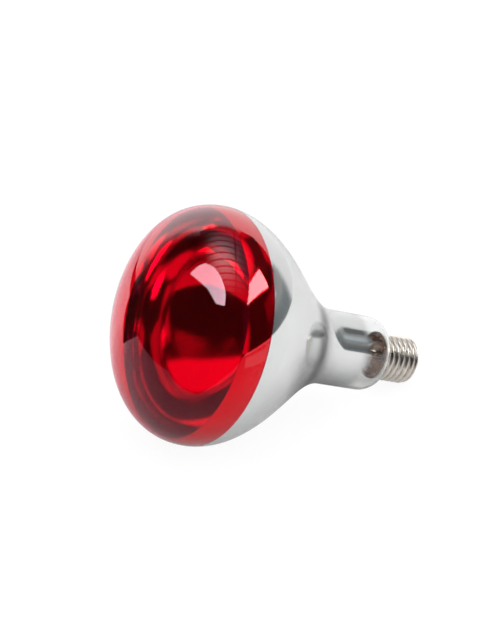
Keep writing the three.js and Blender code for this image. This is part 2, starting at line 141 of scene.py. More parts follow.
class CapSizes(PropertyGroup):
    """Screw cap with its rolled thread, contact, insulator and solder."""

    crest_radius: length("Crest Radius", "Radius over the thread's crests", 0.0132)
    groove_depth: length("Groove Depth", "Depth of the rolled groove", 0.00105)
    crest_width: amount("Crest Width", "Power of the wave, above 1 for narrow grooves", 1.15, 0.2, 5.0)
    pitch: length("Pitch", "Rise of the thread in one turn", 0.003629)
    start: length("Cap Start", "Height of the cap's mouth", 0.0072)
    end: length("Cap End", "Height of the skirt's rim", 0.0297)
    mouth_radius: length("Mouth Radius", "Radius of the mouth round the insulator", 0.011)
    nose: length("Nose", "Height of the rounded nose", 0.0018)
    skirt: length("Skirt", "Height of the plain skirt", 0.0015)
    skirt_standout: length("Skirt Standout", "How far the skirt stands out", 0.00015)
    wall: length("Shell Wall", "Thickness of the shell", 0.0004)
    contact_radius: length("Contact Radius", "Radius of the centre contact", 0.00475)
    contact_start: length("Contact Start", "Height of the contact's face", 0.0008)
    contact_thickness: length("Contact Thickness", "Thickness of the contact", 0.0008)
    solder_radius: length("Solder Radius", "Radius of the centre solder", 0.0024)
    land_radius: length("Land Radius", "Radius of the flat at the solder's tip", 0.0012)
    cement_start: length("Cement Start", "Height where the cement starts inside the cap", 0.0207)
    cement_bore: length("Cement Bore", "Radius of the hole through the cement", 0.0042)


class MountSizes(PropertyGroup):
    """Glass stem, support rod, shield and leads inside the bulb."""

    stem_radius: length("Stem Radius", "Radius of the stem tube", 0.0055)
    stem_wall: length("Stem Wall", "Wall of the stem tube", 0.0013)
    stem_start: length("Stem Start", "Height where the stem's flare ends", 0.038)
    stem_end: length("Stem End", "Height where the press starts", 0.052)
    press_width: length("Press Width", "Width of the press", 0.015)
    press_depth: length("Press Depth", "Depth of the press", 0.0046)
    press_top: length("Press Top", "Height of the press's top", 0.063)
    exhaust_radius: length("Exhaust Radius", "Radius of the exhaust tube", 0.002)
    exhaust_start: length("Exhaust Start", "Height of the exhaust tube's sealed tip", 0.014)
    exhaust_end: length("Exhaust End", "Height where the exhaust tube joins the stem", 0.0506)
    rod_radius: length("Rod Radius", "Radius of the support rod", 0.0016)
    button_radius: length("Button Radius", "Radius of the rod's button", 0.0032)
    button_top: length("Button Top", "Height of the button's top", 0.097)
    button_height: length("Button Height", "Height of the button", 0.0044)
    shield_height: length("Shield Height", "Height of the heat shield", 0.071)
    shield_thickness: length("Shield Thickness", "Thickness of the heat shield", 0.0005)
    shield_room: length("Shield Room", "Room between the shield's edge and the film", 0.0009)
    lead_offset: length("Lead Offset", "Distance of the leads from the axis", 0.003)
    lead_radius: length("Lead Radius", "Radius of the inner leads", 0.0005)
    seal_wire_radius: length("Seal Wire Radius", "Radius of the wires through the press", 0.00035)
    outer_lead_radius: length("Outer Lead Radius", "Radius of the leads in the cap", 0.00025)


class FilamentSizes(PropertyGroup):
    """Coiled filament and the hooks that hold it."""

    ring_radius: length("Ring Radius", "Radius of the ring that the coil follows", 0.0135)
    height: length("Height", "Height of the ring", 0.101)
    opening: angle("Opening", "Angle of the ring that stays open", 52)
    coil_radius: length("Coil Radius", "Radius over the coil", 0.00105)
    wire_radius: length("Wire Radius", "Radius of the filament's wire", 0.000225)
    tail: length("Tail", "Straight tail at each end", 0.001)
    curls: whole("Curls", "Turns of the coil", 41)
    hooks: whole("Hooks", "Number of hooks", 5)
    hook_radius: length("Hook Radius", "Radius of the hooks' wire", 0.0002)
    hook_sweep: angle("Hook Sweep", "Angle of the open loop", 290)


class LampColours(PropertyGroup):
    """Colours of the lamp's materials."""

    ruby: tint("Ruby", "Coat of the dome", (0.9, 0.0015, 0.1))
    glass: tint("Clear Glass", "Blown glass", (0.95, 0.96, 0.955))
    film: tint("Mirror Film", "Aluminium film seen from outside", (0.82, 0.825, 0.82))
    fresh_film: tint("Fresh Film", "Aluminium film seen from inside", (0.9, 0.9, 0.9))
    nickel: tint("Nickel", "Plating of the screw cap", (0.68, 0.63, 0.575))
    # painted shade: the colour that darkens the plating in the grooves of the thread
    nickel_groove_shade: tint("Groove Soil", "Film in the grooves of the thread", (0.27, 0.23, 0.20))
    insulator: tint("Insulator", "Fused black glass", (0.018, 0.019, 0.022))
    brass: tint("Brass", "Centre contact", (0.70, 0.55, 0.28))
    solder: tint("Solder", "Tin solder", (0.62, 0.62, 0.60))
    cement: tint("Cement", "Basing cement", (0.25, 0.095, 0.032))
    mica: tint("Mica", "Heat shield", (0.46, 0.30, 0.16))
    copper: tint("Copper", "Copper-coated wire", (0.72, 0.34, 0.19))
    nickel_wire: tint("Nickel Wire", "Inner leads", (0.62, 0.60, 0.56))
    hook_wire: tint("Hook Wire", "Molybdenum wire", (0.46, 0.47, 0.48))
    tungsten: tint("Tungsten", "Filament", (0.30, 0.30, 0.31))


class StageSettings(PropertyGroup):
    """Camera, floor and lights."""

    azimuth: angle("Azimuth", "Where the camera stands, from the dome's side", 61.27)
    elevation: angle("Elevation", "How high the camera stands", 23.88)
    distance: length("Distance", "Distance of the camera from its aim", 0.848)
    aim_height: length("Aim Height", "Height on the lamp's axis that the camera aims near", 0.100)
    aim_left: length("Aim Left", "How far the camera stands to the left of that", 0.0101)
    aim_up: length("Aim Up", "How far the camera stands above that", 0.0085)
    lens: FloatProperty(name="Lens", description="Focal length on a 36 mm sensor", default=89.83, min=1.0)
    fill: amount("Fill", "Light that falls on matte surfaces", 1.0)
    room: amount("Room", "Grey of the dark room, seen in gloss", 0.015)
    umbrella: amount("Umbrella", "Strength of the umbrella lamp", 11.0, high=100.0)
    softbox: amount("Softbox", "Strength of the softbox", 9.0, high=100.0)


# Outlines: arrays of (radius, height), running from the cap to the dome


def bow(start, leave, arrive, end, count):
    """Cubic curve: its knots weighted by (1-t)^3, 3(1-t)^2 t, 3(1-t) t^2 and t^3."""
    t = np.linspace(0.0, 1.0, count)[:, None]
    knots = [np.asarray(knot, dtype=float) for knot in (start, leave, arrive, end)]
    weights = ((1 - t) ** 3, 3 * (1 - t) ** 2 * t, 3 * (1 - t) * t ** 2, t ** 3)
    return sum(weight * knot for weight, knot in zip(weights, knots))


def ease(value, low, high):
    """0 below low, 1 above high and 3t^2 - 2t^3 between them. A hard step where they are equal."""
    if low == high:
        return np.ones_like(value)
    t = np.clip((value - low) / (high - low), 0.0, 1.0)
    return t * t * (3 - 2 * t)


def bulb_outline(bulb):
    """Seal, shoulder, neck, flare and dome: three cubic curves joined by straight lines."""
    neck = bulb.neck_radius
    widest = (bulb.radius, bulb.widest)
    shoulder = bow((bulb.collar_radius, bulb.collar_height),
                   (bulb.collar_radius + bulb.shoulder_leave, bulb.collar_height),
                   (neck, bulb.neck_start - bulb.shoulder_arrive), (neck, bulb.neck_start),
                   POINTS["shoulder"])
    straight = bow((neck, bulb.neck_start), (neck, bulb.neck_start + bulb.wall),
                   (neck, bulb.neck_end - bulb.wall), (neck, bulb.neck_end), POINTS["neck"])
    flare = bow((neck, bulb.neck_end), (neck, bulb.neck_end + bulb.flare_leave),
                (bulb.radius, bulb.widest - bulb.flare_arrive), widest, POINTS["flare"])
    dome = bow(widest, (bulb.radius, bulb.widest + bulb.dome_leave), (bulb.dome_arrive, bulb.top),
               (0.0, bulb.top), POINTS["dome"])
    seal = np.array([(bulb.seal_radius, bulb.seal_height)])
    return np.concatenate([seal, shoulder, straight[1:], flare[1:], dome[1:]])


def inset(outline, depth):
    """The outline moved towards the axis by a depth, square to its own tangent."""
    along = np.gradient(outline, axis=0)
    along[outline[:, 0] == 0] = (-1.0, 0.0)
    along /= np.linalg.norm(along, axis=1)[:, None]
    moved = outline + depth * np.stack((-along[:, 1], along[:, 0]), axis=1)
    moved[:, 0] = np.maximum(moved[:, 0], 0.0)
    return moved


def at_height(outline, height):
    """The outline's point at a height, by linear interpolation."""
    return np.array([(np.interp(height, outline[:, 1], outline[:, 0]), height)])


def below(outline, height):
    return np.concatenate([outline[outline[:, 1] < height], at_height(outline, height)])


def above(outline, height):
    return np.concatenate([at_height(outline, height), outline[outline[:, 1] > height]])


def between(outline, low, high):
    return below(above(outline, low), high)


# Surfaces: grids of points in the lamp's own frame, put into a mesh as whole arrays


def place(points):
    """Lamp frame to world: the tip plus each coordinate times its axis."""
    return TIP + points @ AXES


def corner_grid(rows, columns, close_rows, close_columns):
    """Row and column of each face's four corners on a grid, not wrapped yet."""
    i = np.arange(rows if close_rows else rows - 1)[:, None, None]
    j = np.arange(columns if close_columns else columns - 1)[None, :, None]
    row = i + np.array([0, 0, 1, 1])
    column = j + np.array([0, 1, 1, 0])
    return np.broadcast_arrays(row, column)


def skin(name, grid, close_rows=False, values=None):
    """A surface of two parameters on a grid, closed round its columns. A row whose points fall
    together becomes one pole, and the surface is turned outwards by the sign of its volume."""
    rows, columns = grid.shape[:2]
    pole = np.ptp(grid, axis=1).max(axis=1) < POLE_SIZE
    index = np.arange(rows * columns).reshape(rows, columns)
    index = np.where(pole[:, None], index[:, :1], index)
    used, index = np.unique(index, return_inverse=True)
    index = index.reshape(rows, columns)
    points = place(grid.reshape(-1, 3)[used])
    row, column = corner_grid(rows, columns, close_rows, True)
    faces = index[row % rows, column % columns].reshape(-1, 4)
    travel = np.stack((row, column), axis=-1).reshape(-1, 4, 2) / np.array((rows, columns))
    halves = np.concatenate([faces[:, [0, 1, 2]], faces[:, [0, 2, 3]]])
    a, b, c = (points[halves[:, k]] - TIP for k in range(3))
    way = -1 if np.sum(a * np.cross(b, c)) < 0 else 1
    low = faces[:, 0] == faces[:, 1]
    high = faces[:, 2] == faces[:, 3]
    kinds = ((~(low | high), [0, 1, 2, 3][::way]), (low, [0, 2, 3][::way]), (high, [0, 1, 2][::way]))
    quads, low_ends, high_ends = (faces[chosen][:, order] for chosen, order in kinds)
    marks = np.concatenate([travel[chosen][:, order].reshape(-1, 2) for chosen, order in kinds])
    mesh = mesh_of(name, points, quads, np.concatenate([low_ends, high_ends]))
    layer = mesh.uv_layers.new(name="Along")
    layer.data.foreach_set("uv", marks.astype(np.float32).ravel())
    for key, value in (values or {}).items():
        attribute = mesh.attributes.new(key, "FLOAT", "POINT")
        attribute.data.foreach_set("value", value.reshape(-1)[used].astype(np.float32))
    mesh.set_sharp_from_angle(angle=SHARP_ANGLE)
    return mesh


def mesh_of(name, points, quads, triangles):
    """A smooth mesh from arrays of corners: four to a quad, three to a triangle."""
    mesh = bpy.data.meshes.new(name)
    loops = np.concatenate([quads.ravel(), triangles.ravel()]).astype(np.int32)
    sizes = np.concatenate([np.full(len(quads), 4), np.full(len(triangles), 3)])
    mesh.vertices.add(len(points))
    mesh.vertices.foreach_set("co", points.astype(np.float32).ravel())
    mesh.loops.add(len(loops))
    mesh.loops.foreach_set("vertex_index", loops)
    mesh.polygons.add(len(sizes))
    mesh.polygons.foreach_set("loop_start", (np.cumsum(sizes) - sizes).astype(np.int32))
    mesh.polygons.foreach_set("use_smooth", np.ones(len(sizes), dtype=bool))
    mesh.update(calc_edges=True)
    return mesh


def full_turn(count):
    """Even angles once round."""
    return 2 * np.pi * np.arange(count) / count


def turned(radius, height, turn):
    """A point for each radius r, height h and angle a: (r cos a, r sin a, h)."""
    radius, height, turn = np.broadcast_arrays(radius, height, turn)
    return np.stack((radius * np.cos(turn), radius * np.sin(turn), height), axis=-1)


def revolve(name, profile, segments, ring=False, values=None):
    """A profile of (radius, height) carried once round the axis. A ring closes on itself."""
    profile = np.asarray(profile, dtype=float)
    grid = turned(profile[:, :1], profile[:, 1:], full_turn(segments))
    return skin(name, grid, close_rows=ring, values=values)


def rounded(section, fillet):
    """A closed outline of straight sides, whose corners are cut by a short quadratic curve."""
    here = np.asarray(section, dtype=float)
    before = np.roll(here, 1, axis=0) - here
    after = np.roll(here, -1, axis=0) - here
    span_before = np.linalg.norm(before, axis=1)[:, None]
    span_after = np.linalg.norm(after, axis=1)[:, None]
    start = here + before / span_before * np.minimum(fillet, span_before / 3)
    end = here + after / span_after * np.minimum(fillet, span_after / 3)
    t = np.linspace(0.0, 1.0, POINTS["corner"])[None, :, None]
    curve = (1 - t) ** 2 * start[:, None] + 2 * (1 - t) * t * here[:, None] + t ** 2 * end[:, None]
    return curve.reshape(-1, 2)


def smooth_path(points, steps, tension=0.25):
    """A wire bent through points: cubic pieces whose tangent at a point is a share, the tension,
    of the line between its neighbours."""
    points = np.asarray(points, dtype=float)
    padded = np.concatenate([2 * points[:1] - points[1:2], points, 2 * points[-1:] - points[-2:-1]])
    t = np.linspace(0.0, 1.0, steps, endpoint=False)[None, :, None]
    start, end = padded[1:-2, None], padded[2:-1, None]
    leave = tension * (end - padded[:-3, None])
    arrive = tension * (padded[3:, None] - start)
    curve = ((2 * t ** 3 - 3 * t ** 2 + 1) * start + (t ** 3 - 2 * t ** 2 + t) * leave
             + (3 * t ** 2 - 2 * t ** 3) * end + (t ** 3 - t ** 2) * arrive)
    return np.concatenate([curve.reshape(-1, 3), points[-1:]])


def tube_grid(path, side, radius, sides):
    """A round section carried along a path: p + r (n cos a + b sin a), with chamfered flat ends.
    The normal n is the given side made square to the tangent, and b is square to both."""
    tangent = np.gradient(path, axis=0)
    tangent /= np.linalg.norm(tangent, axis=1)[:, None]
    normal = side - np.sum(side * tangent, axis=1)[:, None] * tangent
    normal /= np.linalg.norm(normal, axis=1)[:, None]
    across = np.cross(tangent, normal)
    turn = full_turn(sides)[None, :, None]
    ring = normal[:, None] * np.cos(turn) + across[:, None] * np.sin(turn)
    chamfer = radius / 4
    small = radius - chamfer
    first = path[0] - chamfer * tangent[0]
    last = path[-1] + chamfer * tangent[-1]
    start = [np.broadcast_to(first, (1, sides, 3)), (first + small * ring[0])[None]]
    end = [(last + small * ring[-1])[None], np.broadcast_to(last, (1, sides, 3))]
    return np.concatenate(start + [path[:, None] + radius * ring] + end)


def wire(name, path, radius, sides, side=(0.0, 1.0, 0.0)):
    """A round wire along a path, as one closed surface."""
    side = np.broadcast_to(np.asarray(side, dtype=float), path.shape)
    return skin(name, tube_grid(path, side, radius, sides))


# Materials: one shader each, with a few nodes that carry the detail of its surface

WHITE = (1.0, 1.0, 1.0)
GLASS_IOR = 1.5


class Nodes:
    """A node tree of a material or a world, with short calls that add nodes and feed them."""

    def __init__(self, owner, empty=False):
        owner.use_nodes = True
        self.owner = owner
        self.tree = owner.node_tree
        if empty:
            self.tree.nodes.clear()

    def set(self, node, key, value):
        """Links a socket to an input, or sets its number or colour."""
        socket = node.inputs[key]
        if isinstance(value, bpy.types.NodeSocket):
            self.tree.links.new(value, socket)
        elif socket.type == "RGBA" and len(value) == 3:
            socket.default_value = (*value, 1.0)
        else:
            socket.default_value = value

    def feed(self, node, **inputs):
        for key, value in inputs.items():
            self.set(node, key.replace("_", " "), value)

    def add(self, kind, settings=None, **inputs):
        node = self.tree.nodes.new(kind)
        for key, value in (settings or {}).items():
            setattr(node, key, value)
        self.feed(node, **inputs)
        return node

    def attribute(self, name):
        return self.add("ShaderNodeAttribute", {"attribute_name": name}).outputs["Fac"]

    def uv(self):
        return self.add("ShaderNodeUVMap", {"uv_map": "Along"}).outputs[0]

    def math(self, operation, *values):
        """A Math node fed by sockets or numbers."""
        node = self.add("ShaderNodeMath", {"operation": operation})
        for index, value in enumerate(values):
            self.set(node, index, value)
        return node.outputs[0]

    def show(self, share, first, second):
        """Ends a material in two shaders, where the second takes a share of the first."""
        mix = self.add("ShaderNodeMixShader")
        for index, value in enumerate((share, first.outputs[0], second.outputs[0])):
            self.set(mix, index, value)
        self.add("ShaderNodeOutputMaterial", Surface=mix.outputs[0])
        return self.owner


class Finish(Nodes):
    """A node material with a Principled shader whose constants are set on its own sockets."""

    def __init__(self, name, **constants):
        super().__init__(bpy.data.materials.new(name))
        self.shader = self.tree.nodes["Principled BSDF"]
        self.feed(self.shader, **constants)

    def lamp_place(self, stretch=(1.0, 1.0, 1.0)):
        """Object coordinates turned into the lamp's own frame, then stretched."""
        world = self.add("ShaderNodeTexCoord").outputs["Object"]
        turn, shift = Matrix(AXES.tolist()).to_euler(), Vector(-(AXES @ TIP))
        own = self.add("ShaderNodeMapping", Vector=world, Rotation=turn, Location=shift).outputs[0]
        return self.add("ShaderNodeMapping", Vector=own, Scale=stretch).outputs[0]

    def along(self, stretch):
        """The piece's own UV map, stretched: rows along a wire or outline, columns round it."""
        return self.add("ShaderNodeMapping", Vector=self.uv(), Scale=stretch).outputs[0]

    def noise(self, where, scale, detail=3.0, roughness=0.55):
        return self.add("ShaderNodeTexNoise", Vector=where, Scale=scale, Detail=detail,
                        Roughness=roughness).outputs[0]

    def spread(self, value, low, high, start=0.3, end=0.7):
        """A value from start to end mapped to low to high."""
        return self.add("ShaderNodeMapRange", Value=value, From_Min=start, From_Max=end,
                        To_Min=low, To_Max=high).outputs[0]

    def blend(self, share, first, second):
        node = self.add("ShaderNodeMix", {"data_type": "RGBA"})
        for socket, value in ((0, share), (6, first), (7, second)):
            self.set(node, socket, value)
        return node.outputs[2]

    def clouded(self, value, first, second, start=0.35, end=0.7):
        """The first colour where a value is at its start, and the second where it is at its end."""
        return self.blend(self.spread(value, 0.0, 1.0, start, end), first, second)

    def bump(self, height, strength, distance, under=None):
        node = self.add("ShaderNodeBump", Strength=strength, Distance=distance, Height=height)
        if under is not None:
            self.set(node, "Normal", under)
        return node.outputs[0]

    def wear(self, **links):
        self.feed(self.shader, **links)
        return self.owner


def shade(colour, share):
    return tuple(min(1.0, channel * share) for channel in colour)


def ruby_finish(colours):
    """Ruby-coated blown glass: a slightly uneven coat over long shallow waves."""
    look = Finish("ruby_glass", Transmission_Weight=1.0, Roughness=0.0, IOR=GLASS_IOR)
    where = look.lamp_place((1.0, 1.0, 0.5))
    coat = look.noise(where, 38.0, 2.0)
    colour = look.clouded(coat, shade(colours.ruby, 0.95), shade(colours.ruby, 1.04), start=0.3)
    waves = look.bump(look.noise(where, 22.0, 1.0), 0.25, 0.0006)
    return look.wear(Base_Color=colour, Normal=waves)


def glass_finish(name, colour, wave):
    """Clear blown glass: shallow waves and a faint change of tone."""
    look = Finish(name, Transmission_Weight=1.0, Roughness=0.0, IOR=GLASS_IOR)
    where = look.lamp_place((1.0, 1.0, 0.4))
    tone = look.blend(look.noise(where, 60.0, 2.0), shade(colour, 0.985), colour)
    return look.wear(Base_Color=tone, Normal=look.bump(look.noise(where, 30.0, 1.0), wave, 0.0004))


def film_finish(colours):
    """Aluminium film: a mirror with a little haze, brighter on its inner side, ruby where it lies
    under the dome, darkened in a ring by painted shade where the flare leaves the neck, and with
    faint rings from the blowing of the glass."""
    look = Finish("mirror_film", Metallic=0.9)
    where = look.lamp_place()
    cloud = look.noise(where, 42.0, 4.0)
    inner, under_ruby, painted_shade, cover = map(look.attribute, ("inner", "under_ruby", "painted_shade", "cover"))
    red_film = tuple(a * b for a, b in zip(colours.fresh_film, colours.ruby))
    colour = look.clouded(cloud, shade(colours.film, 0.94), colours.film)
    # painted shade: the film turns nearly black in the ring, for the reflected shadow under the neck
    colour = look.blend(painted_shade, colour, shade(colours.film, 0.08))
    colour = look.blend(inner, colour, colours.fresh_film)
    colour = look.blend(under_ruby, colour, red_film)
    gloss = look.math("MULTIPLY_ADD", inner, 0.05, look.spread(cloud, 0.03, 0.07))
    rings = look.add("ShaderNodeTexWave", {"bands_direction": "Z"}, Vector=where, Scale=70.0,
                     Distortion=0.8, Detail=1.0).outputs["Fac"]
    relief = look.bump(rings, 0.02, 0.00005, look.bump(look.noise(where, 24.0, 1.0), 0.25, 0.0005))
    return look.wear(Base_Color=colour, Roughness=gloss, Normal=relief, Alpha=cover)


def nickel_finish(colours):
    """Nickel plating: bright on the crests, darkened by painted shade in the grooves, with fine lines round
    it.
    """
    look = Finish("nickel_plate", Metallic=1.0)
    cloud = look.noise(look.lamp_place(), 320.0, 5.0, 0.65)
    lines = look.noise(look.lamp_place((1.0, 1.0, 6.0)), 900.0)
    # painted shade: darker in the grooves of the thread, by the groove mark
    groove_shade = look.math("MULTIPLY", look.spread(look.attribute("groove"), 0.0, 0.9, 0.4, 1.0),
                     look.spread(cloud, 0.35, 1.0, 0.3, 0.65))
    plate = look.clouded(cloud, colours.nickel, shade(colours.nickel, 0.86), 0.4, 0.75)
    relief = look.bump(lines, 0.06, 0.0001, look.bump(cloud, 0.08, 0.00015))
    return look.wear(Base_Color=look.blend(groove_shade, plate, colours.nickel_groove_shade),
                     Roughness=look.spread(cloud, 0.24, 0.38), Normal=relief)


def plain_metal(name, colour, roughness, scale, relief):
    """Cast or drawn metal: a clouded tone, a clouded gloss and a fine relief."""
    look = Finish(name, Metallic=1.0)
    cloud = look.noise(look.lamp_place(), scale, 4.0, 0.6)
    return look.wear(Base_Color=look.clouded(cloud, shade(colour, 0.72), shade(colour, 1.06)),
                     Roughness=look.spread(cloud, roughness * 0.75, roughness * 1.35),
                     Normal=look.bump(cloud, relief, 0.0002))


def wire_metal(name, colour, roughness, turns):
    """Drawn wire: fine lines along it and bands of oxide across it."""
    look = Finish(name, Metallic=1.0)
    lines = look.noise(look.along((turns, 24.0, 1.0)), 2.0)
    bands = look.noise(look.along((turns, 0.6, 1.0)), 1.0, 2.0)
    return look.wear(Base_Color=look.clouded(bands, shade(colour, 0.68), shade(colour, 1.05)),
                     Roughness=look.spread(lines, roughness * 0.7, roughness * 1.4),
                     Normal=look.bump(lines, 0.2, 0.00005))


def insulator_finish(colours):
    """Fused black glass: poured, glossy, with small pits and a dusty bloom."""
    look = Finish("black_glass", IOR=1.52)
    where = look.lamp_place()
    pits = look.noise(where, 900.0, 4.0, 0.6)
    bloom = look.noise(where, 240.0)
    dusty = shade(colours.insulator, 2.6)
    return look.wear(Base_Color=look.clouded(bloom, colours.insulator, dusty, 0.45, 0.75),
                     Roughness=look.spread(bloom, 0.12, 0.32, 0.35), Normal=look.bump(pits, 0.2, 0.0002))


def cement_finish(colours):
    """Basing cement: matte, brown and grainy."""
    look = Finish("cement", Roughness=0.92)
    where = look.lamp_place()
    grain = look.noise(where, 1400.0, 5.0, 0.7)
    colour = look.clouded(look.noise(where, 260.0), shade(colours.cement, 0.6), shade(colours.cement, 1.35))
    return look.wear(Base_Color=colour, Normal=look.bump(grain, 0.5, 0.0003))


def mica_finish(colours):
    """Pressed mica: overlapping flakes of different browns with a silky gloss."""
    look = Finish("mica", IOR=1.58)
    flakes = look.add("ShaderNodeTexVoronoi", Vector=look.lamp_place((1.0, 1.0, 0.2)), Scale=260.0,
                      Randomness=1.0).outputs
    tone = look.add("ShaderNodeSeparateColor", Color=flakes["Color"]).outputs[0]
    return look.wear(Base_Color=look.blend(tone, shade(colours.mica, 0.62), shade(colours.mica, 1.3)),
                     Roughness=look.spread(tone, 0.22, 0.5, 0.0, 1.0),
                     Normal=look.bump(flakes["Distance"], 0.35, 0.0002))


# Pieces


def dress(mesh, material, slot, *nodes, clear=False):
    """Puts a mesh into the scene as a piece that rides on the lamp and stands for its CAD nodes.
    A clear piece lets the soft light through to what is behind it."""
    mesh.materials.append(material)
    piece = bpy.data.objects.new(mesh.name, mesh)
    bpy.context.scene.collection.objects.link(piece)
    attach(piece, "root")
    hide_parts(*nodes)
    piece.visible_diffuse = piece.visible_shadow = not clear


class LampOperator(Operator):
    """What the operators of the pieces share: each builds its pieces from the scene's settings."""

    bl_options = {"REGISTER", "UNDO"}

    def execute(self, context):
        scene = context.scene
        self.build(scene.lamp_bulb, scene.lamp_cap, scene.lamp_mount, scene.lamp_filament,
                   scene.lamp_colours)
        return {"FINISHED"}


class RubyDome(LampOperator):
    """Adds the ruby-coated dome, one wall of glass from the widest circle to the pole."""

    bl_idname = "heat_lamp.ruby_dome"
    bl_label = "Ruby Dome"

    def build(self, bulb, cap, mount, coil, colours):
        outline = bulb_outline(bulb)
        start = bulb.parting - RUBY_LAP
        inside = above(inset(outline, bulb.wall), start)
        profile = np.concatenate([inside[::-1], above(outline, start)])
        mesh = revolve("ruby_dome", profile, SEGMENTS["dome"])
        dress(mesh, ruby_finish(colours), "red_coat", "red_coating")


class ClearBulb(LampOperator):
    """Adds the clear back of the bulb, one wall of glass from the seal to the widest circle."""

    bl_idname = "heat_lamp.clear_bulb"
    bl_label = "Clear Bulb"

    def build(self, bulb, cap, mount, coil, colours):
        outline = bulb_outline(bulb)
        inside = below(inset(outline, bulb.wall), bulb.parting)
        profile = np.concatenate([below(outline, bulb.parting), inside[::-1]])
        mesh = revolve("clear_bulb", profile, SEGMENTS["bulb"], ring=True)
        look = glass_finish("clear_glass", colours.glass, 0.25)
        dress(mesh, look, "clear_glass", "glass_bulb", clear=True)


class MirrorFilm(LampOperator):
    """Adds the thin mirror film inside the neck and the flare. It is bedded in the glass, so that no
    gap of air mirrors in front of it. Its marks say where it is the inner side, where the dome covers
    it, how dark the ring of painted shade makes it, exp(-((h - ring) / width)^2), and how well it covers."""

    bl_idname = "heat_lamp.mirror_film"
    bl_label = "Mirror Film"

    def build(self, bulb, cap, mount, coil, colours):
        outline = bulb_outline(bulb)
        outside = inset(outline, bulb.wall - bulb.film_bed)
        outside = np.concatenate([between(outside, bulb.film_start, bulb.parting),
                                  between(outside, bulb.parting + TINT_STEP, bulb.film_end)])
        inside = between(inset(outline, bulb.wall + bulb.film_bed), bulb.film_start, bulb.film_end)
        profile = np.concatenate([outside, inside[::-1]])
        height = profile[:, 1]
        inner = np.arange(len(profile)) >= len(outside)
        marks = {"inner": inner,
                 "under_ruby": ~inner & (height > bulb.parting),
                 # painted shade: a dark ring on the film where the flare leaves the neck, standing in for
                 # the reflected shadow under the neck
                 "painted_shade": bulb.shade_ring_depth * np.exp(-((height - bulb.shade_ring_height) / bulb.shade_ring_width) ** 2),
                 "cover": ease(height, bulb.film_start, bulb.film_start + bulb.film_fade)}
        segments = SEGMENTS["bulb"]
        values = {key: np.repeat(mark[:, None], segments, axis=1) for key, mark in marks.items()}
        mesh = revolve("mirror_film", profile, segments, ring=True, values=values)
        dress(mesh, film_finish(colours), "mirror_film", "mirror_coating")


def cap_outline(cap):
    """Nose, thread band and skirt over the crests: two cubic curves joined by a straight line."""
    nose_end = cap.start + cap.nose
    nose = bow((cap.mouth_radius, cap.start), ((cap.mouth_radius + cap.crest_radius) / 2, cap.start),
               (cap.crest_radius, (cap.start + nose_end) / 2), (cap.crest_radius, nose_end), POINTS["nose"])
    skirt_start = cap.end - cap.skirt
    band_height = np.linspace(nose_end, skirt_start, POINTS["band"])[1:]
    band = np.stack((np.full_like(band_height, cap.crest_radius), band_height), axis=1)
    skirt_radius = cap.crest_radius + cap.skirt_standout
    skirt = bow((cap.crest_radius, skirt_start), (cap.crest_radius, skirt_start + cap.wall),
                (skirt_radius, skirt_start), (skirt_radius, skirt_start + 2 * cap.wall), POINTS["skirt"])
    rim = np.array([(skirt_radius, cap.end - cap.wall / 4)])
    return np.concatenate([nose, band, skirt[1:], rim])


class ScrewShell(LampOperator):
    """Adds the screw shell. Its radius is the outline's, less the groove's depth times half of
    (1 - cos(2 pi h / pitch - a)) to a power, which is a right-handed thread. It fades out over a
    nose's height at the mouth and a quarter of a turn at the skirt."""

    bl_idname = "heat_lamp.screw_shell"
    bl_label = "Screw Shell"

    def build(self, bulb, cap, mount, coil, colours):
        outline = cap_outline(cap)
        turn = full_turn(SEGMENTS["shell"])
        radius, height = outline[:, :1], outline[:, 1:]
        wave = (0.5 - 0.5 * np.cos(2 * np.pi * height / cap.pitch - turn)) ** cap.crest_width
        first = cap.start + cap.nose / 4
        last = cap.end - cap.skirt
        groove = wave * ease(height - first, 0.0, cap.nose) * ease(last - height, 0.0, cap.pitch / 4)
        outside = radius - cap.groove_depth * groove
        radii = np.concatenate([outside, (outside - cap.wall)[::-1]])
        heights = np.concatenate([height, height[::-1]])
        # painted shade: the groove mark is the groove's depth on the outer face and 1 on the inner face,
        # and darkens the plating there
        groove_shade = np.concatenate([groove, np.ones_like(groove)])
        mesh = skin("screw_shell", turned(radii, heights, turn), close_rows=True, values={"groove": groove_shade})
        dress(mesh, nickel_finish(colours), "nickel_plate", "cap_shell")


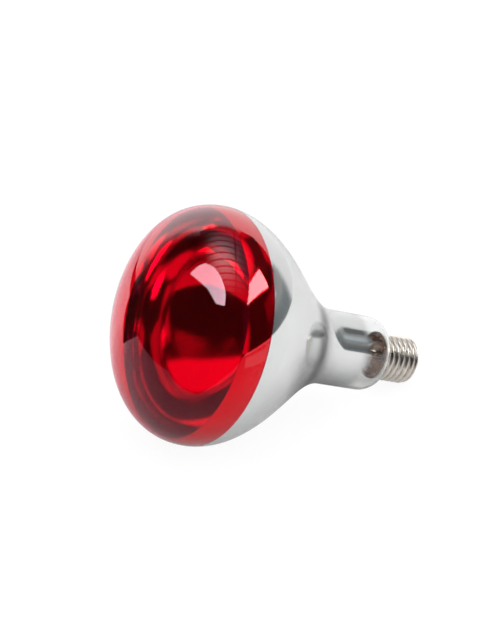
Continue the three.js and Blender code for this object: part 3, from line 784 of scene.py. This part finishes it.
class CapEnd(LampOperator):
    """Adds the black insulator, the brass contact and the solder at the end of the cap."""

    bl_idname = "heat_lamp.cap_end"
    bl_label = "Cap End"

    def build(self, bulb, cap, mount, coil, colours):
        back = cap.contact_start + cap.contact_thickness
        self.add_insulator(cap, colours, back + FIT)
        self.add_contact(cap, colours, back)
        self.add_solder(cap, colours)

    def add_insulator(self, cap, colours, start):
        bore, lip, step, thickness, land = 0.0012, 0.0009, 0.0006, 0.0024, 0.0022
        foot = cap.contact_radius + lip
        mouth = cap.mouth_radius - SNUG
        seat = cap.crest_radius - cap.groove_depth - cap.wall - HAIR
        nose_end = cap.start + cap.nose
        deep = nose_end + 0.0016
        section = [(bore, start), (foot, start), (mouth, cap.start - step), (mouth, cap.start + lip),
                   (seat, nose_end + 0.0003), (seat, deep), (mouth - land, deep),
                   (foot, start + thickness), (bore, start + thickness)]
        mesh = revolve("cap_insulator_piece", rounded(section, 0.0005), SEGMENTS["cap"], ring=True)
        dress(mesh, insulator_finish(colours), "black_glass", "cap_insulator")

    def add_contact(self, cap, colours, back):
        bore, sleeve, sleeve_end = 0.0008, 0.0014, back + 0.0026
        edge, face = cap.contact_radius, cap.contact_start
        section = [(bore, face), (edge - FIT, face), (edge, face + 0.0003), (edge, back), (sleeve, back),
                   (sleeve, sleeve_end), (bore, sleeve_end)]
        mesh = revolve("contact_plate", rounded(section, 0.00012), SEGMENTS["contact"], ring=True)
        look = plain_metal("contact_brass", colours.brass, 0.28, 700.0, 0.15)
        dress(mesh, look, "contact_brass", "centre_contact")

    def add_solder(self, cap, colours):
        core, core_end, rim = 0.0007, 0.0022, cap.solder_radius
        drop = bow((cap.land_radius, 0.0), ((cap.land_radius + rim) / 2, 0.0), (rim, 0.0),
                   (rim, cap.contact_start), POINTS["drop"])
        profile = [[(0.0, 0.0)], drop, [(core, cap.contact_start), (core, core_end), (0.0, core_end)]]
        mesh = revolve("centre_solder_drop", np.concatenate(profile), SEGMENTS["drop"])
        dress(mesh, solder_finish("tin_solder", colours), "solder", "centre_solder")


def solder_finish(name, colours):
    """Solder as it sets: a silky grey with a rough grain."""
    return plain_metal(name, colours.solder, 0.34, 800.0, 0.4)


class CapJoint(LampOperator):
    """Adds the cement inside the cap and the drop of solder on its skirt. The drop is half a ball,
    squeezed on each side and lobed: (depth sin l, width cos l sin a, height cos l cos a), the last
    two times 1 + 0.08 sin(3a + 0.6) + 0.05 sin 5a."""

    bl_idname = "heat_lamp.cap_joint"
    bl_label = "Cement and Side Solder"

    def build(self, bulb, cap, mount, coil, colours):
        self.add_cement(bulb, cap, colours)
        self.add_side_solder(cap, colours)

    def add_cement(self, bulb, cap, colours):
        groove = cap.crest_radius - cap.groove_depth - cap.wall - SNUG
        shell = cap.crest_radius - cap.wall - FIT
        skirt = cap.end - cap.skirt
        top = cap.end - 0.0005
        plug_top = bulb.seal_height - FIT
        section = [(cap.cement_bore, cap.cement_start), (groove, cap.cement_start), (groove, skirt),
                   (shell, skirt + 0.0006), (shell, top), (bulb.collar_radius + SNUG, top),
                   (bulb.seal_radius + FIT, plug_top), (cap.cement_bore, plug_top)]
        mesh = revolve("cement_ring", rounded(section, 0.0003), SEGMENTS["cap"], ring=True)
        dress(mesh, cement_finish(colours), "cement", "basing_cement")

    def add_side_solder(self, cap, colours):
        width, height, depth, sunk = 0.0012, 0.0015, 0.0008, 0.0003
        turn = full_turn(SEGMENTS["side_drop"])
        lift = np.linspace(0.0, np.pi / 2, POINTS["side_drop"])[:, None]
        lobes = 1 + 0.08 * np.sin(3 * turn + 0.6) + 0.05 * np.sin(5 * turn)
        outward = sunk - cap.crest_radius - cap.skirt_standout - depth * np.sin(lift)
        across = width * np.cos(lift) * np.sin(turn) * lobes
        upward = cap.end - height + height * np.cos(lift) * np.cos(turn) * lobes
        crown = np.stack(np.broadcast_arrays(outward, across, upward), axis=-1)
        crown[-1] = crown[-1].mean(axis=0)
        base = np.broadcast_to(crown[0].mean(axis=0), (1, len(turn), 3))
        mesh = skin("side_solder_drop", np.concatenate([base, crown]))
        dress(mesh, solder_finish("tin_solder_side", colours), "solder", "side_solder")


def section_grid(sections, segments, power):
    """Squarish rings: at each (half width, half depth, height) the ring is
    (w c |c|^(k-1), d s |s|^(k-1), h), where c and s are the cosine and sine round it, and k the power."""
    turn = full_turn(segments)
    width, depth, height = (sections[:, k:k + 1] for k in range(3))
    c, s = np.cos(turn), np.sin(turn)
    x = width * np.sign(c) * np.abs(c) ** power[:, None]
    y = depth * np.sign(s) * np.abs(s) ** power[:, None]
    return np.stack((x, y, np.broadcast_to(height, x.shape)), axis=-1)


class GlassStem(LampOperator):
    """Adds the stem with its flare and press, the exhaust tube and the support rod."""

    bl_idname = "heat_lamp.glass_stem"
    bl_label = "Glass Stem"

    def build(self, bulb, cap, mount, coil, colours):
        look = glass_finish("stem_glass", shade(colours.glass, 0.97), 0.5)
        mesh = self.stem_and_press(bulb, mount)
        dress(mesh, look, "stem_glass", "glass_stem", clear=True)
        outer, bore, tip = mount.exhaust_radius, mount.exhaust_radius - 0.0008, mount.exhaust_start
        tube = [(0.0, tip), (outer * 0.55, tip + 0.0004), (outer, tip + 0.0024), (outer, mount.exhaust_end),
                (bore, mount.exhaust_end), (bore, tip + 0.0034), (0.0, tip + 0.0024)]
        mesh = revolve("exhaust_pipe", tube, SEGMENTS["pipe"])
        dress(mesh, look, "stem_glass", "exhaust_tube", clear=True)
        dress(self.rod_and_button(mount), look, "stem_glass", "support_rod")

    def stem_and_press(self, bulb, mount):
        """A tube from its flare up, pinched over a short reach from a circle to the squarish press."""
        radius, end = mount.stem_radius, mount.stem_end
        half_width, half_depth, top = mount.press_width / 2, mount.press_depth / 2, mount.press_top
        reach = 0.003
        foot = bulb.seal_radius - bulb.wall - HAIR
        middle = (bulb.seal_height + mount.stem_start) / 2
        flare = bow((foot, bulb.seal_height), (foot, middle), (radius, middle), (radius, mount.stem_start),
                    POINTS["stem"])
        bore = inset(np.concatenate([flare, [(radius, end)]]), mount.stem_wall)
        bore = np.concatenate([bore, [(radius / 2, end - 2 * FIT), (0.0, end - FIT)]])
        round_part = np.concatenate([bore[::-1], flare, [(radius, end - reach)]])
        rings = np.column_stack((round_part[:, 0], round_part[:, 0], round_part[:, 1]))
        t = np.linspace(0.0, 1.0, POINTS["press"])[1:, None]
        share = ease(t, 0.0, 1.0)
        pinch = np.column_stack((radius + (half_width - radius) * share,
                                 radius + (half_depth - radius) * share, end - reach + 2 * reach * t))
        crown = np.array([(1.0, 1.0, top - 0.0012), (0.94, 0.9, top - 0.0005), (0.8, 0.66, top - HAIR),
                          (0.0, 0.0, top)]) * (half_width, half_depth, 1.0)
        squareness = 0.42
        power = np.concatenate([np.ones(len(rings)), 1 - squareness * share[:, 0],
                                np.full(len(crown), 1 - squareness)])
        sections = np.concatenate([rings, pinch, crown])
        return skin("stem_and_press", section_grid(sections, SEGMENTS["stem"], power))

    def rod_and_button(self, mount):
        """A rod with a flattened ball on it: radius b sin^0.6 a at height m - h cos a."""
        rod, top, half = mount.rod_radius, mount.button_top, mount.button_height / 2
        base = mount.press_top + HAIR
        turn = np.linspace(0.0, np.pi, POINTS["button"])
        width = mount.button_radius * np.sin(turn) ** 0.6
        button = np.column_stack((width, top - half - half * np.cos(turn)))[width > rod]
        profile = [[(0.0, base), (rod, base), (rod, top - 2 * half - 0.0008)], button, [(0.0, top)]]
        return revolve("rod_and_button", np.concatenate(profile), SEGMENTS["rod"])


class HeatShield(LampOperator):
    """Adds the mica disc across the neck, with a hole round the rod. The leads are set into it."""

    bl_idname = "heat_lamp.heat_shield"
    bl_label = "Heat Shield"

    def build(self, bulb, cap, mount, coil, colours):
        low = mount.shield_height
        high = low + mount.shield_thickness
        radius = at_height(inset(bulb_outline(bulb), bulb.wall + mount.shield_room), low)[0, 0]
        hole = mount.rod_radius + LOOSE
        section = rounded([(hole, low), (radius, low), (radius, high), (hole, high)], 0.00012)
        mesh = revolve("mica_disc", section, SEGMENTS["shield"], ring=True)
        dress(mesh, mica_finish(colours), "mica", "heat_shield")


def on_ring(coil, turn, out, up):
    """A place at an angle on the filament's ring, out from it and up from it."""
    return turned(coil.ring_radius + out, coil.height + up, turn)


def arc_of(coil):
    """Where the coil starts on its ring, and how far it runs round."""
    return -np.pi / 2 + coil.opening / 2, 2 * np.pi - coil.opening


class Leads(LampOperator):
    """Adds the seal wires, the inner leads and the outer leads."""

    bl_idname = "heat_lamp.leads"
    bl_label = "Leads"

    def build(self, bulb, cap, mount, coil, colours):
        copper = wire_metal("copper_wire", colours.copper, 0.3, 60.0)
        nickel = wire_metal("nickel_wire", colours.nickel_wire, 0.26, 80.0)
        arc_start, arc_sweep = arc_of(coil)
        clear = (coil.tail + LOOSE + mount.lead_radius) / coil.ring_radius
        seal_low = mount.stem_end - 0.0036
        seal_high = mount.press_top + 0.0025
        shield_top = mount.shield_height + mount.shield_thickness
        heights = np.linspace(seal_low, seal_high, POINTS["seal_wire"])
        for word, x, turn in (("left", -mount.lead_offset, arc_start + arc_sweep + clear),
                              ("right", mount.lead_offset, arc_start - clear)):
            path = np.column_stack((np.full_like(heights, x), np.zeros_like(heights), heights))
            mesh = wire(f"seal_wire_piece_{word}", path, mount.seal_wire_radius, SIDES["seal_wire"])
            dress(mesh, copper, "copper_wire", f"seal_wire_{word}")
            knots = [(x, 0.0, seal_high + FIT), (x, 0.0, shield_top), (x, 0.0, shield_top + 0.0045),
                     on_ring(coil, turn, 0.0, -2 * coil.coil_radius - 2 * mount.lead_radius),
                     on_ring(coil, turn, 0.0, coil.coil_radius)]
            path = smooth_path(knots, BEND_STEPS["lead"])
            mesh = wire(f"inner_lead_piece_{word}", path, mount.lead_radius, SIDES["inner_lead"])
            dress(mesh, nickel, "nickel_wire", f"inner_lead_{word}")
        for word, knots in self.outer_knots(bulb, cap, mount, seal_low - FIT).items():
            path = smooth_path(knots, BEND_STEPS["lead"])
            mesh = wire(f"outer_lead_piece_{word}", path, mount.outer_lead_radius, SIDES["outer_lead"])
            dress(mesh, copper, "copper_wire", f"outer_lead_{word}")

    def outer_knots(self, bulb, cap, mount, top):
        """One lead runs down to the contact, and the other round the glass to the skirt."""
        x, tip, low, collar = mount.lead_offset, mount.exhaust_start, cap.cement_start, bulb.collar_radius
        wall = (collar + cap.crest_radius - cap.wall) / 2
        return {
            "centre": [(x, 0.0, top), (x, 0.0, tip), (0.0, 0.0, (tip + cap.contact_start) / 2),
                       (0.0, 0.0, 0.0024)],
            "side": [(-x, 0.0, top), (-x, 0.0, low), (-(x + wall) / 2, 0.0, low - 0.0035),
                     (-collar, 0.0, low), (-collar, 0.0, bulb.seal_height), (-wall, 0.0, cap.end - 0.0008)]}


class Filament(LampOperator):
    """Adds the filament: a wire wound round the ring, at ring(a) + R (out sin n w + up cos n w),
    where w runs from 0 to 1 along the arc, with a straight tail at each end."""

    bl_idname = "heat_lamp.filament"
    bl_label = "Filament"

    def build(self, bulb, cap, mount, coil, colours):
        arc_start, arc_sweep = arc_of(coil)
        mean = coil.coil_radius - coil.wire_radius
        tail = coil.tail / (arc_sweep * coil.ring_radius)
        share = np.concatenate([np.linspace(-tail, 0.0, POINTS["tail"])[:-1],
                                np.linspace(0.0, 1.0, coil.curls * POINTS["curl"] + 1),
                                np.linspace(1.0, 1.0 + tail, POINTS["tail"])[1:]])
        wound = np.clip(share, 0.0, 1.0)
        turn = 2 * np.pi * coil.curls * wound
        bearing = arc_start + arc_sweep * wound
        forward = turned(1.0, 0.0, bearing + np.pi / 2)
        path = on_ring(coil, bearing, mean * np.sin(turn), mean * np.cos(turn))
        path = path + (share - wound)[:, None] * arc_sweep * coil.ring_radius * forward
        side = turned(np.sin(turn), np.cos(turn), bearing)
        mesh = skin("filament_coil", tube_grid(path, side, coil.wire_radius, SIDES["filament"]))
        dress(mesh, wire_metal("tungsten_wire", colours.tungsten, 0.42, 400.0), "tungsten_wire", "filament")


class Hooks(LampOperator):
    """Adds the hooks, each a wire from the button to an open loop round the coil."""

    bl_idname = "heat_lamp.hooks"
    bl_label = "Filament Hooks"

    def build(self, bulb, cap, mount, coil, colours):
        look = wire_metal("hook_wire", colours.hook_wire, 0.34, 60.0)
        arc_start, arc_sweep = arc_of(coil)
        loop = coil.coil_radius + coil.hook_radius + LOOSE
        reach = mount.button_radius - 0.0004 - coil.ring_radius
        rise = mount.button_top - mount.button_height / 2 - coil.height
        sweep = -np.pi / 2 + np.linspace(0.0, coil.hook_sweep, POINTS["hook"])
        out = np.concatenate([[reach, reach / 2], loop * np.cos(sweep)])
        up = np.concatenate([[rise, (rise - loop) / 2], loop * np.sin(sweep)])
        for number in range(1, coil.hooks + 1):
            curl = round(coil.curls * number / (coil.hooks + 1))
            bearing = arc_start + arc_sweep * curl / coil.curls
            path = smooth_path(on_ring(coil, bearing, out, up), BEND_STEPS["hook"], tension=0.5)
            side = (-np.sin(bearing), np.cos(bearing), 0.0)
            mesh = wire(f"hook_piece_{number}", path, coil.hook_radius, SIDES["hook"], side)
            dress(mesh, look, "hook_wire", f"filament_hook_{number}")


# Stage: what the glass and the metal mirror is drawn on glowing cards that only gloss sees


# The floor: its radius in metres, its grey, its own glow, and the shares of that glow that the
# camera and the gloss see
FLOOR_RADIUS = 30.0
FLOOR_GREY = 0.97
FLOOR_GLOW = 1.07
FLOOR_SEEN = 0.86
FLOOR_MIRRORED = 0.1

# Points of a patch and of a sheet on the table, each way, and how far the sheet reaches in metres
PATCH_GRID = (61, 31)
TABLE_GRID = 121
TABLE_REACH = 1.2

# The slatted ceiling: its slats, the width of the lines between them, the place and width of the
# line that crosses them, and how dark the lines are
SLAT_COUNT = 12
SLAT_LINE = 0.12
CROSS_LINE_PLACE = 0.654
CROSS_LINE = 0.016
LINE_DEPTH = 0.8

# What is seen through the clear glass, round the lamp: name, strength, colour, distance in metres,
# azimuths, elevations, soft left, right, lower and upper edge, and glow at the four corners
BEHIND_GLASS = (
    ("stand_grey", 1.0, (0.97, 1.0, 0.98), 2.9, (128, 190), (-7, 31), (0, 14, 5, 3),
     (0.12, 0.4, 0.2, 0.34)),
    ("stand_dark", 1.0, (0.78, 0.92, 1.0), 2.8, (128, 184), (-7, 17), (0, 10, 5, 8),
     (0.05, 0.2, 0.08, 0.24)),
    ("stand_bar", 0.07, (0.85, 0.97, 1.0), 2.8, (160, 178), (28.5, 32)),
    ("stand_pale", 0.5, (0.8, 0.92, 1.0), 2.8, (143, 160), (19, 27), (3, 3, 2, 2)),
    ("wall", 1.0, WHITE, 4.0, (-200, -100), (-3, 60), (12, 20, 2, 8), (0.6, 0.95, 0.75, 0.9)),
    ("bright_ceiling", 1.45, WHITE, 2.6, (-180, 180), (56, 90), (0, 0, 8, 0)),
    ("side_fill", 0.9, WHITE, 2.9, (77, 96), (-4, 46), (6, 8, 2, 14)),
    ("high_corner", 0.06, WHITE, 2.9, (-204, -146), (38, 62), (0, 10, 4, 8)),
)

# Corners of flat cards, as azimuth and elevation
DARK_CORNER = [(-204, 28), (-181, 30), (-168, 37), (-153, 44), (-141, 50), (-141, 64), (-204, 64)]
UMBRELLA = [(-34, 32), (-33, 41), (-30, 49), (-22, 55), (-11, 59), (8, 60), (26, 56), (33, 50), (34, 43),
            (15, 40), (-6, 42), (-20, 38)]
SOFTBOX = [(90, 42), (109, 57), (155, 51), (148, 34)]

# What lies beyond the table's edge, on the floor, in metres
TABLE_EDGE = [(-4.0, -0.42), (-0.45, -0.42), (-0.1, -0.40), (0.0, -0.27), (0.08, -0.165), (0.2, -0.175),
              (0.6, -0.15), (4.0, -0.15), (4.0, -4.0), (-4.0, -4.0)]
TABLE_WEDGE = [(-0.21, -0.18), (-0.36, -0.225), (-0.52, -0.28), (-0.94, -0.44), (-1.4, -0.64), (-1.4, -1.2),
               (-0.45, -0.42), (-0.37, -0.34)]


def direction(azimuth, elevation):
    """Unit vectors (sin a cos e, -cos a cos e, sin e), so azimuth 0 is the dome's side."""
    a, e = np.broadcast_arrays(azimuth, elevation)
    return np.stack((np.sin(a) * np.cos(e), -np.cos(a) * np.cos(e), np.sin(e)), axis=-1)


def slat_light(nodes, count):
    """1 on the slats of a card, and less on the lines between them and on the one that crosses
    them. The lines between are where the card's UV map, folded once a slat, comes near 0."""
    both = nodes.add("ShaderNodeSeparateXYZ", Vector=nodes.uv()).outputs
    across = nodes.math("PINGPONG", nodes.math("MULTIPLY", both[1], float(count)), 0.5)
    middle = nodes.math("ABSOLUTE", nodes.math("SUBTRACT", both[0], CROSS_LINE_PLACE))
    line = nodes.math("MAXIMUM", nodes.math("LESS_THAN", across, SLAT_LINE),
                      nodes.math("LESS_THAN", middle, CROSS_LINE))
    return nodes.math("SUBTRACT", 1.0, nodes.math("MULTIPLY", line, LINE_DEPTH))


def card_finish(name, strength, colour=WHITE, seen_by="all", slats=0):
    """A glowing card that only gloss sees: clear to any ray that has not been reflected, and unlit
    to any that has met a matte surface. Its mesh says how far it fades and how strongly it glows.
    It can be kept from the rays that have gone through glass (outside), or kept for them (through),
    and it can be drawn as slats."""
    nodes = Nodes(bpy.data.materials.new(name), empty=True)
    path = nodes.add("ShaderNodeLightPath").outputs
    seen = nodes.math("GREATER_THAN", path["Glossy Depth"], 0.5)
    if seen_by != "all":
        through = nodes.math("GREATER_THAN", path["Transmission Depth"], 0.5)
        if seen_by == "outside":
            through = nodes.math("SUBTRACT", 1.0, through)
        seen = nodes.math("MULTIPLY", seen, through)
    power = nodes.math("MULTIPLY", nodes.attribute("glow"), strength)
    power = nodes.math("MULTIPLY", power, nodes.math("LESS_THAN", path["Diffuse Depth"], 0.5))
    if slats:
        power = nodes.math("MULTIPLY", power, slat_light(nodes, slats))
    return nodes.show(nodes.math("MULTIPLY", seen, nodes.attribute("fade")),
                      nodes.add("ShaderNodeBsdfTransparent"),
                      nodes.add("ShaderNodeEmission", Color=colour, Strength=power))


def add_stage_object(name, mesh, material):
    mesh.materials.append(material)
    thing = bpy.data.objects.new(name, mesh)
    bpy.context.scene.collection.objects.link(thing)
    return thing


def add_card(name, points, material, fade=1.0, glow=1.0):
    """A card on a grid of points, or one face through a row of them."""
    is_grid = points.ndim == 3
    rows, columns = points.shape[:2] if is_grid else (1, len(points))
    if is_grid:
        row, column = corner_grid(rows, columns, False, False)
        faces = (row * columns + column).reshape(-1, 4)
    else:
        faces = np.arange(columns)[None, :]
    mesh = bpy.data.meshes.new(name)
    mesh.from_pydata(points.reshape(-1, 3).tolist(), [], faces.tolist())
    for word, value in (("fade", fade), ("glow", glow)):
        mark = mesh.attributes.new(word, "FLOAT", "POINT")
        mark.data.foreach_set("value", np.broadcast_to(value, (rows, columns)).astype(np.float32).ravel())
    if is_grid:
        along = mesh.uv_layers.new(name="Along")
        spans = np.meshgrid(np.linspace(0, 1, rows), np.linspace(0, 1, columns), indexing="ij")
        share = np.stack(spans, axis=-1).reshape(-1, 2)
        along.data.foreach_set("uv", share[faces.ravel()].astype(np.float32).ravel())
    card = add_stage_object(name, mesh, material)
    for sight in ("visible_camera", "visible_diffuse", "visible_shadow", "visible_volume_scatter"):
        setattr(card, sight, False)


def patch_card(name, centre, material, reach, azimuths, elevations, soft=(0, 0, 0, 0), glow=(1, 1, 1, 1)):
    """A patch of a sphere round the lamp, between two azimuths and two elevations. Its left, right,
    lower and upper edges can fade over some degrees. Its glow is given at its four corners: left and
    right on the lower edge, then on the upper one."""
    columns, rows = PATCH_GRID
    across, up = np.linspace(0, 1, columns)[:, None], np.linspace(0, 1, rows)[None, :]
    a = np.linspace(*azimuths, columns)[:, None]
    e = np.linspace(*elevations, rows)[None, :]
    left, right, low, high = soft
    fade = (ease(a, azimuths[0], azimuths[0] + left) * ease(-a, -azimuths[1], -azimuths[1] + right)
            * ease(e, elevations[0], elevations[0] + low) * ease(-e, -elevations[1], -elevations[1] + high))
    shine = ((1 - up) * ((1 - across) * glow[0] + across * glow[1])
             + up * ((1 - across) * glow[2] + across * glow[3]))
    points = centre + reach * direction(np.radians(a), np.radians(e))
    add_card(name, points, material, fade=fade, glow=shine)


def corner_card(name, centre, material, reach, outline, glow=(1, 1)):
    """A flat-sided card whose corners lie at given azimuths and elevations. Its glow changes from its
    left end to its right one."""
    azimuth, elevation = np.array(outline, dtype=float).T
    shine = np.interp(azimuth, (azimuth.min(), azimuth.max()), glow)
    points = centre + reach * direction(np.radians(azimuth), np.radians(elevation))
    add_card(name, points, material, glow=shine)


def table_card(name, height, material, fade):
    """A sheet a hair above the floor that fades by place, with its points close together near the lamp."""
    x = TABLE_REACH * np.linspace(-1.0, 1.0, TABLE_GRID)[:, None] ** 3
    y = x.T
    add_card(name, np.stack(np.broadcast_arrays(x, y, height), axis=-1), material, fade=fade(x, y))


def flat_card(name, height, material, outline):
    add_card(name, np.insert(np.array(outline), 2, height, axis=1), material)


def hill(x, y, middle, width):
    """exp(-((x - p) / u)^2 - ((y - q) / v)^2): 1 at the middle, falling off over the widths."""
    return np.exp(-((x - middle[0]) / width[0]) ** 2 - ((y - middle[1]) / width[1]) ** 2)


def white_share(nodes, seen=1.0, reflected=1.0):
    """A share for rays from the camera and one for those from gloss or glass, 0 for the others."""
    path = nodes.add("ShaderNodeLightPath").outputs
    gloss = nodes.math("MAXIMUM", path["Is Glossy Ray"], path["Is Transmission Ray"])
    return nodes.math("MAXIMUM", nodes.math("MULTIPLY", path["Is Camera Ray"], seen),
                      nodes.math("MULTIPLY", gloss, reflected))


class Stage(Operator):
    """Adds the camera, the floor, the white surround, the lamps and the dark room in front."""

    bl_idname = "heat_lamp.stage"
    bl_label = "Stage"
    bl_options = {"REGISTER", "UNDO"}

    def execute(self, context):
        stage = context.scene.lamp_stage
        centre = TIP + stage.aim_height * TO_DOME
        self.add_camera(context.scene, stage, centre)
        self.add_world(context.scene, stage)
        self.add_floor()
        self.add_cards(stage, centre)
        context.scene.view_settings.view_transform = "Standard"
        return {"FINISHED"}

    def add_camera(self, scene, stage, centre):
        back = Vector(direction(stage.azimuth, stage.elevation))
        right = Vector((np.cos(stage.azimuth), np.sin(stage.azimuth), 0.0))
        up = back.cross(right)
        eye = Vector(centre) - stage.aim_left * right + stage.aim_up * up + stage.distance * back
        data = bpy.data.cameras.new("lamp_camera")
        data.sensor_fit = "VERTICAL"
        data.sensor_height = 36.0
        data.lens = stage.lens
        data.clip_start = 0.01
        camera = bpy.data.objects.new("lamp_camera", data)
        camera.matrix_world = Matrix.Translation(eye) @ Matrix((right, up, back)).transposed().to_4x4()
        scene.collection.objects.link(camera)
        scene.camera = camera

    def add_world(self, scene, stage):
        scene.world = bpy.data.worlds.new("lamp_surround")
        nodes = Nodes(scene.world)
        strength = nodes.add("ShaderNodeMapRange", Value=white_share(nodes), To_Min=stage.fill, To_Max=1.0)
        nodes.feed(nodes.tree.nodes["Background"], Color=WHITE, Strength=strength.outputs[0])

    def add_floor(self):
        """A matte disc that glows to the camera, so that it is white and keeps a faint shadow."""
        nodes = Nodes(bpy.data.materials.new("pale_floor"), empty=True)
        matte = nodes.add("ShaderNodeBsdfDiffuse", Color=shade(WHITE, FLOOR_GREY))
        glow = nodes.add("ShaderNodeEmission", Strength=FLOOR_GLOW)
        material = nodes.show(white_share(nodes, FLOOR_SEEN, FLOOR_MIRRORED), matte, glow)
        rim = turned(FLOOR_RADIUS, 0.0, full_turn(SEGMENTS["floor"]))
        mesh = bpy.data.meshes.new("floor")
        mesh.from_pydata(rim.tolist(), [], [list(range(len(rim)))])
        add_stage_object("floor", mesh, material)

    def add_cards(self, stage, centre):
        dark = card_finish("dark_room", stage.room)
        patch_card("room", centre, dark, 3.0, (-78, 184), (-2, 60), (15, 10, 0, 12))
        self.add_table(dark)
        self.add_ceiling(centre)
        backdrop = card_finish("backdrop", 1.0, seen_by="outside")
        patch_card("backdrop", centre, backdrop, 5.0, (-200, -66), (-8, 50), (10, 10, 0, 4),
                   (1.25, 1.25, 2.3, 2.3))
        patch_card("backdrop_top", centre, backdrop, 5.2, (-150, -86), (42, 57), (18, 10, 0, 8),
                   (2.3, 2.3, 1.4, 1.4))
        dark_corner = card_finish("dark_corner", 0.04, seen_by="outside")
        corner_card("backdrop_corner", centre, dark_corner, 2.95, DARK_CORNER)
        for name, strength, colour, *patch in BEHIND_GLASS:
            patch_card(name, centre, card_finish(name, strength, colour, "through"), *patch)
        umbrella = card_finish("umbrella_glow", stage.umbrella, (0.8, 0.92, 1.0))
        corner_card("umbrella", centre, umbrella, 2.7, UMBRELLA, (0.68, 1.05))
        softbox = card_finish("softbox_glow", stage.softbox, (1.0, 1.0, 0.95))
        corner_card("softbox", centre, softbox, 2.7, SOFTBOX)

    def add_table(self, dark):
        """The table as the dome mirrors it: bright at the left, dim at the right, shaded under the
        dome and the neck, and its edge."""
        glow = card_finish("table_glow", 1.18, seen_by="outside")
        table_card("table_glow", 0.0003, glow, lambda x, y: ease(-y, -0.14, -0.03))
        dim = card_finish("table_dim", 0.2, seen_by="outside")
        table_card("table_dim", 0.0006, dim, lambda x, y: 1 - np.exp(-np.maximum(0.6 * x - y, 0.0) / 0.085))
        shade_look = card_finish("contact_shade", 0.1)
        table_card("contact_shade", 0.0005, shade_look,
                   lambda x, y: 0.35 * hill(x, y, (-0.03, 0.01), (0.07, 0.07)))
        table_card("neck_shade", 0.0004, shade_look,
                   lambda x, y: 0.78 * hill(x, y, (-0.003, 0.026), (0.026, 0.04)))
        self.add_sheet()
        flat_card("table_edge", 0.0009, dark, TABLE_EDGE)
        flat_card("table_wedge", 0.0012, dark, TABLE_WEDGE)

    def add_sheet(self):
        """The turned-up edge of the white sheet beside the cap: a low wall that fades at its top."""
        top, soft = 0.052, 0.01
        along = np.linspace(-0.22, 0.25, 13)[:, None]
        up = np.linspace(0.0, top, 8)[None, :]
        points = np.stack(np.broadcast_arrays(0.177 + 0.469 * along, 0.164 - 0.883 * along, up), axis=-1)
        look = card_finish("low_sheet", 1.0, seen_by="outside")
        add_card("low_sheet", points, look, fade=ease(-up, -top, soft - top))

    def add_ceiling(self, centre):
        """A dim ceiling, and the lit panel of slats in it, turned to the photo's view (u along the
        slats, v across them) and brightest near the umbrella."""
        dim = card_finish("ceiling_dim", 0.16)
        patch_card("ceiling", centre, dim, 6.0, (-180, 180), (46, 90), (0, 0, 4, 0))
        u = np.linspace(-0.8, 0.5, 61)[:, None]
        v = np.linspace(-0.62, 0.8, 61)[None, :]
        x, y = 0.564 * u + 0.826 * v, 0.826 * u - 0.564 * v
        shine = 0.05 + hill(x, y, (-0.074, -0.277), (0.13 ** 0.5, 0.13 ** 0.5))
        points = centre + 2.9 * np.stack(np.broadcast_arrays(x, y, 1.0), axis=-1)
        slats = card_finish("ceiling_panel", 3.0, seen_by="outside", slats=SLAT_COUNT)
        add_card("ceiling_panel", points, slats, glow=shine)


class LampPanel(Panel):
    """Lists the lamp's sizes, colours and operators in the sidebar."""

    bl_idname = "VIEW3D_PT_heat_lamp"
    bl_label = "Heat Lamp"
    bl_space_type = "VIEW_3D"
    bl_region_type = "UI"
    bl_category = "Heat Lamp"

    def draw(self, context):
        layout = self.layout
        for attribute, group in GROUPS.items():
            column = layout.box().column(align=True)
            column.label(text=group.__doc__)
            for key in group.__annotations__:
                column.prop(getattr(context.scene, attribute), key)
        for operator in (Stage, *PIECES):
            layout.operator(operator.bl_idname)


GROUPS = {
    "lamp_bulb": BulbSizes,
    "lamp_cap": CapSizes,
    "lamp_mount": MountSizes,
    "lamp_filament": FilamentSizes,
    "lamp_colours": LampColours,
    "lamp_stage": StageSettings,
}
PIECES = (RubyDome, ClearBulb, MirrorFilm, ScrewShell, CapEnd, CapJoint, GlassStem, HeatShield, Leads,
          Filament, Hooks)


def register():
    for group in GROUPS.values():
        bpy.utils.register_class(group)
    for operator in (Stage, *PIECES, LampPanel):
        bpy.utils.register_class(operator)
    for attribute, group in GROUPS.items():
        setattr(bpy.types.Scene, attribute, PointerProperty(type=group))


def unregister():
    for attribute in GROUPS:
        delattr(bpy.types.Scene, attribute)
    for thing in (LampPanel, *reversed(PIECES), Stage, *reversed(GROUPS.values())):
        bpy.utils.unregister_class(thing)


def main():
    register()
    for operator in (Stage, *PIECES):
        family, name = operator.bl_idname.split(".")
        getattr(getattr(bpy.ops, family), name)()


if __name__ == "__main__":
    main()
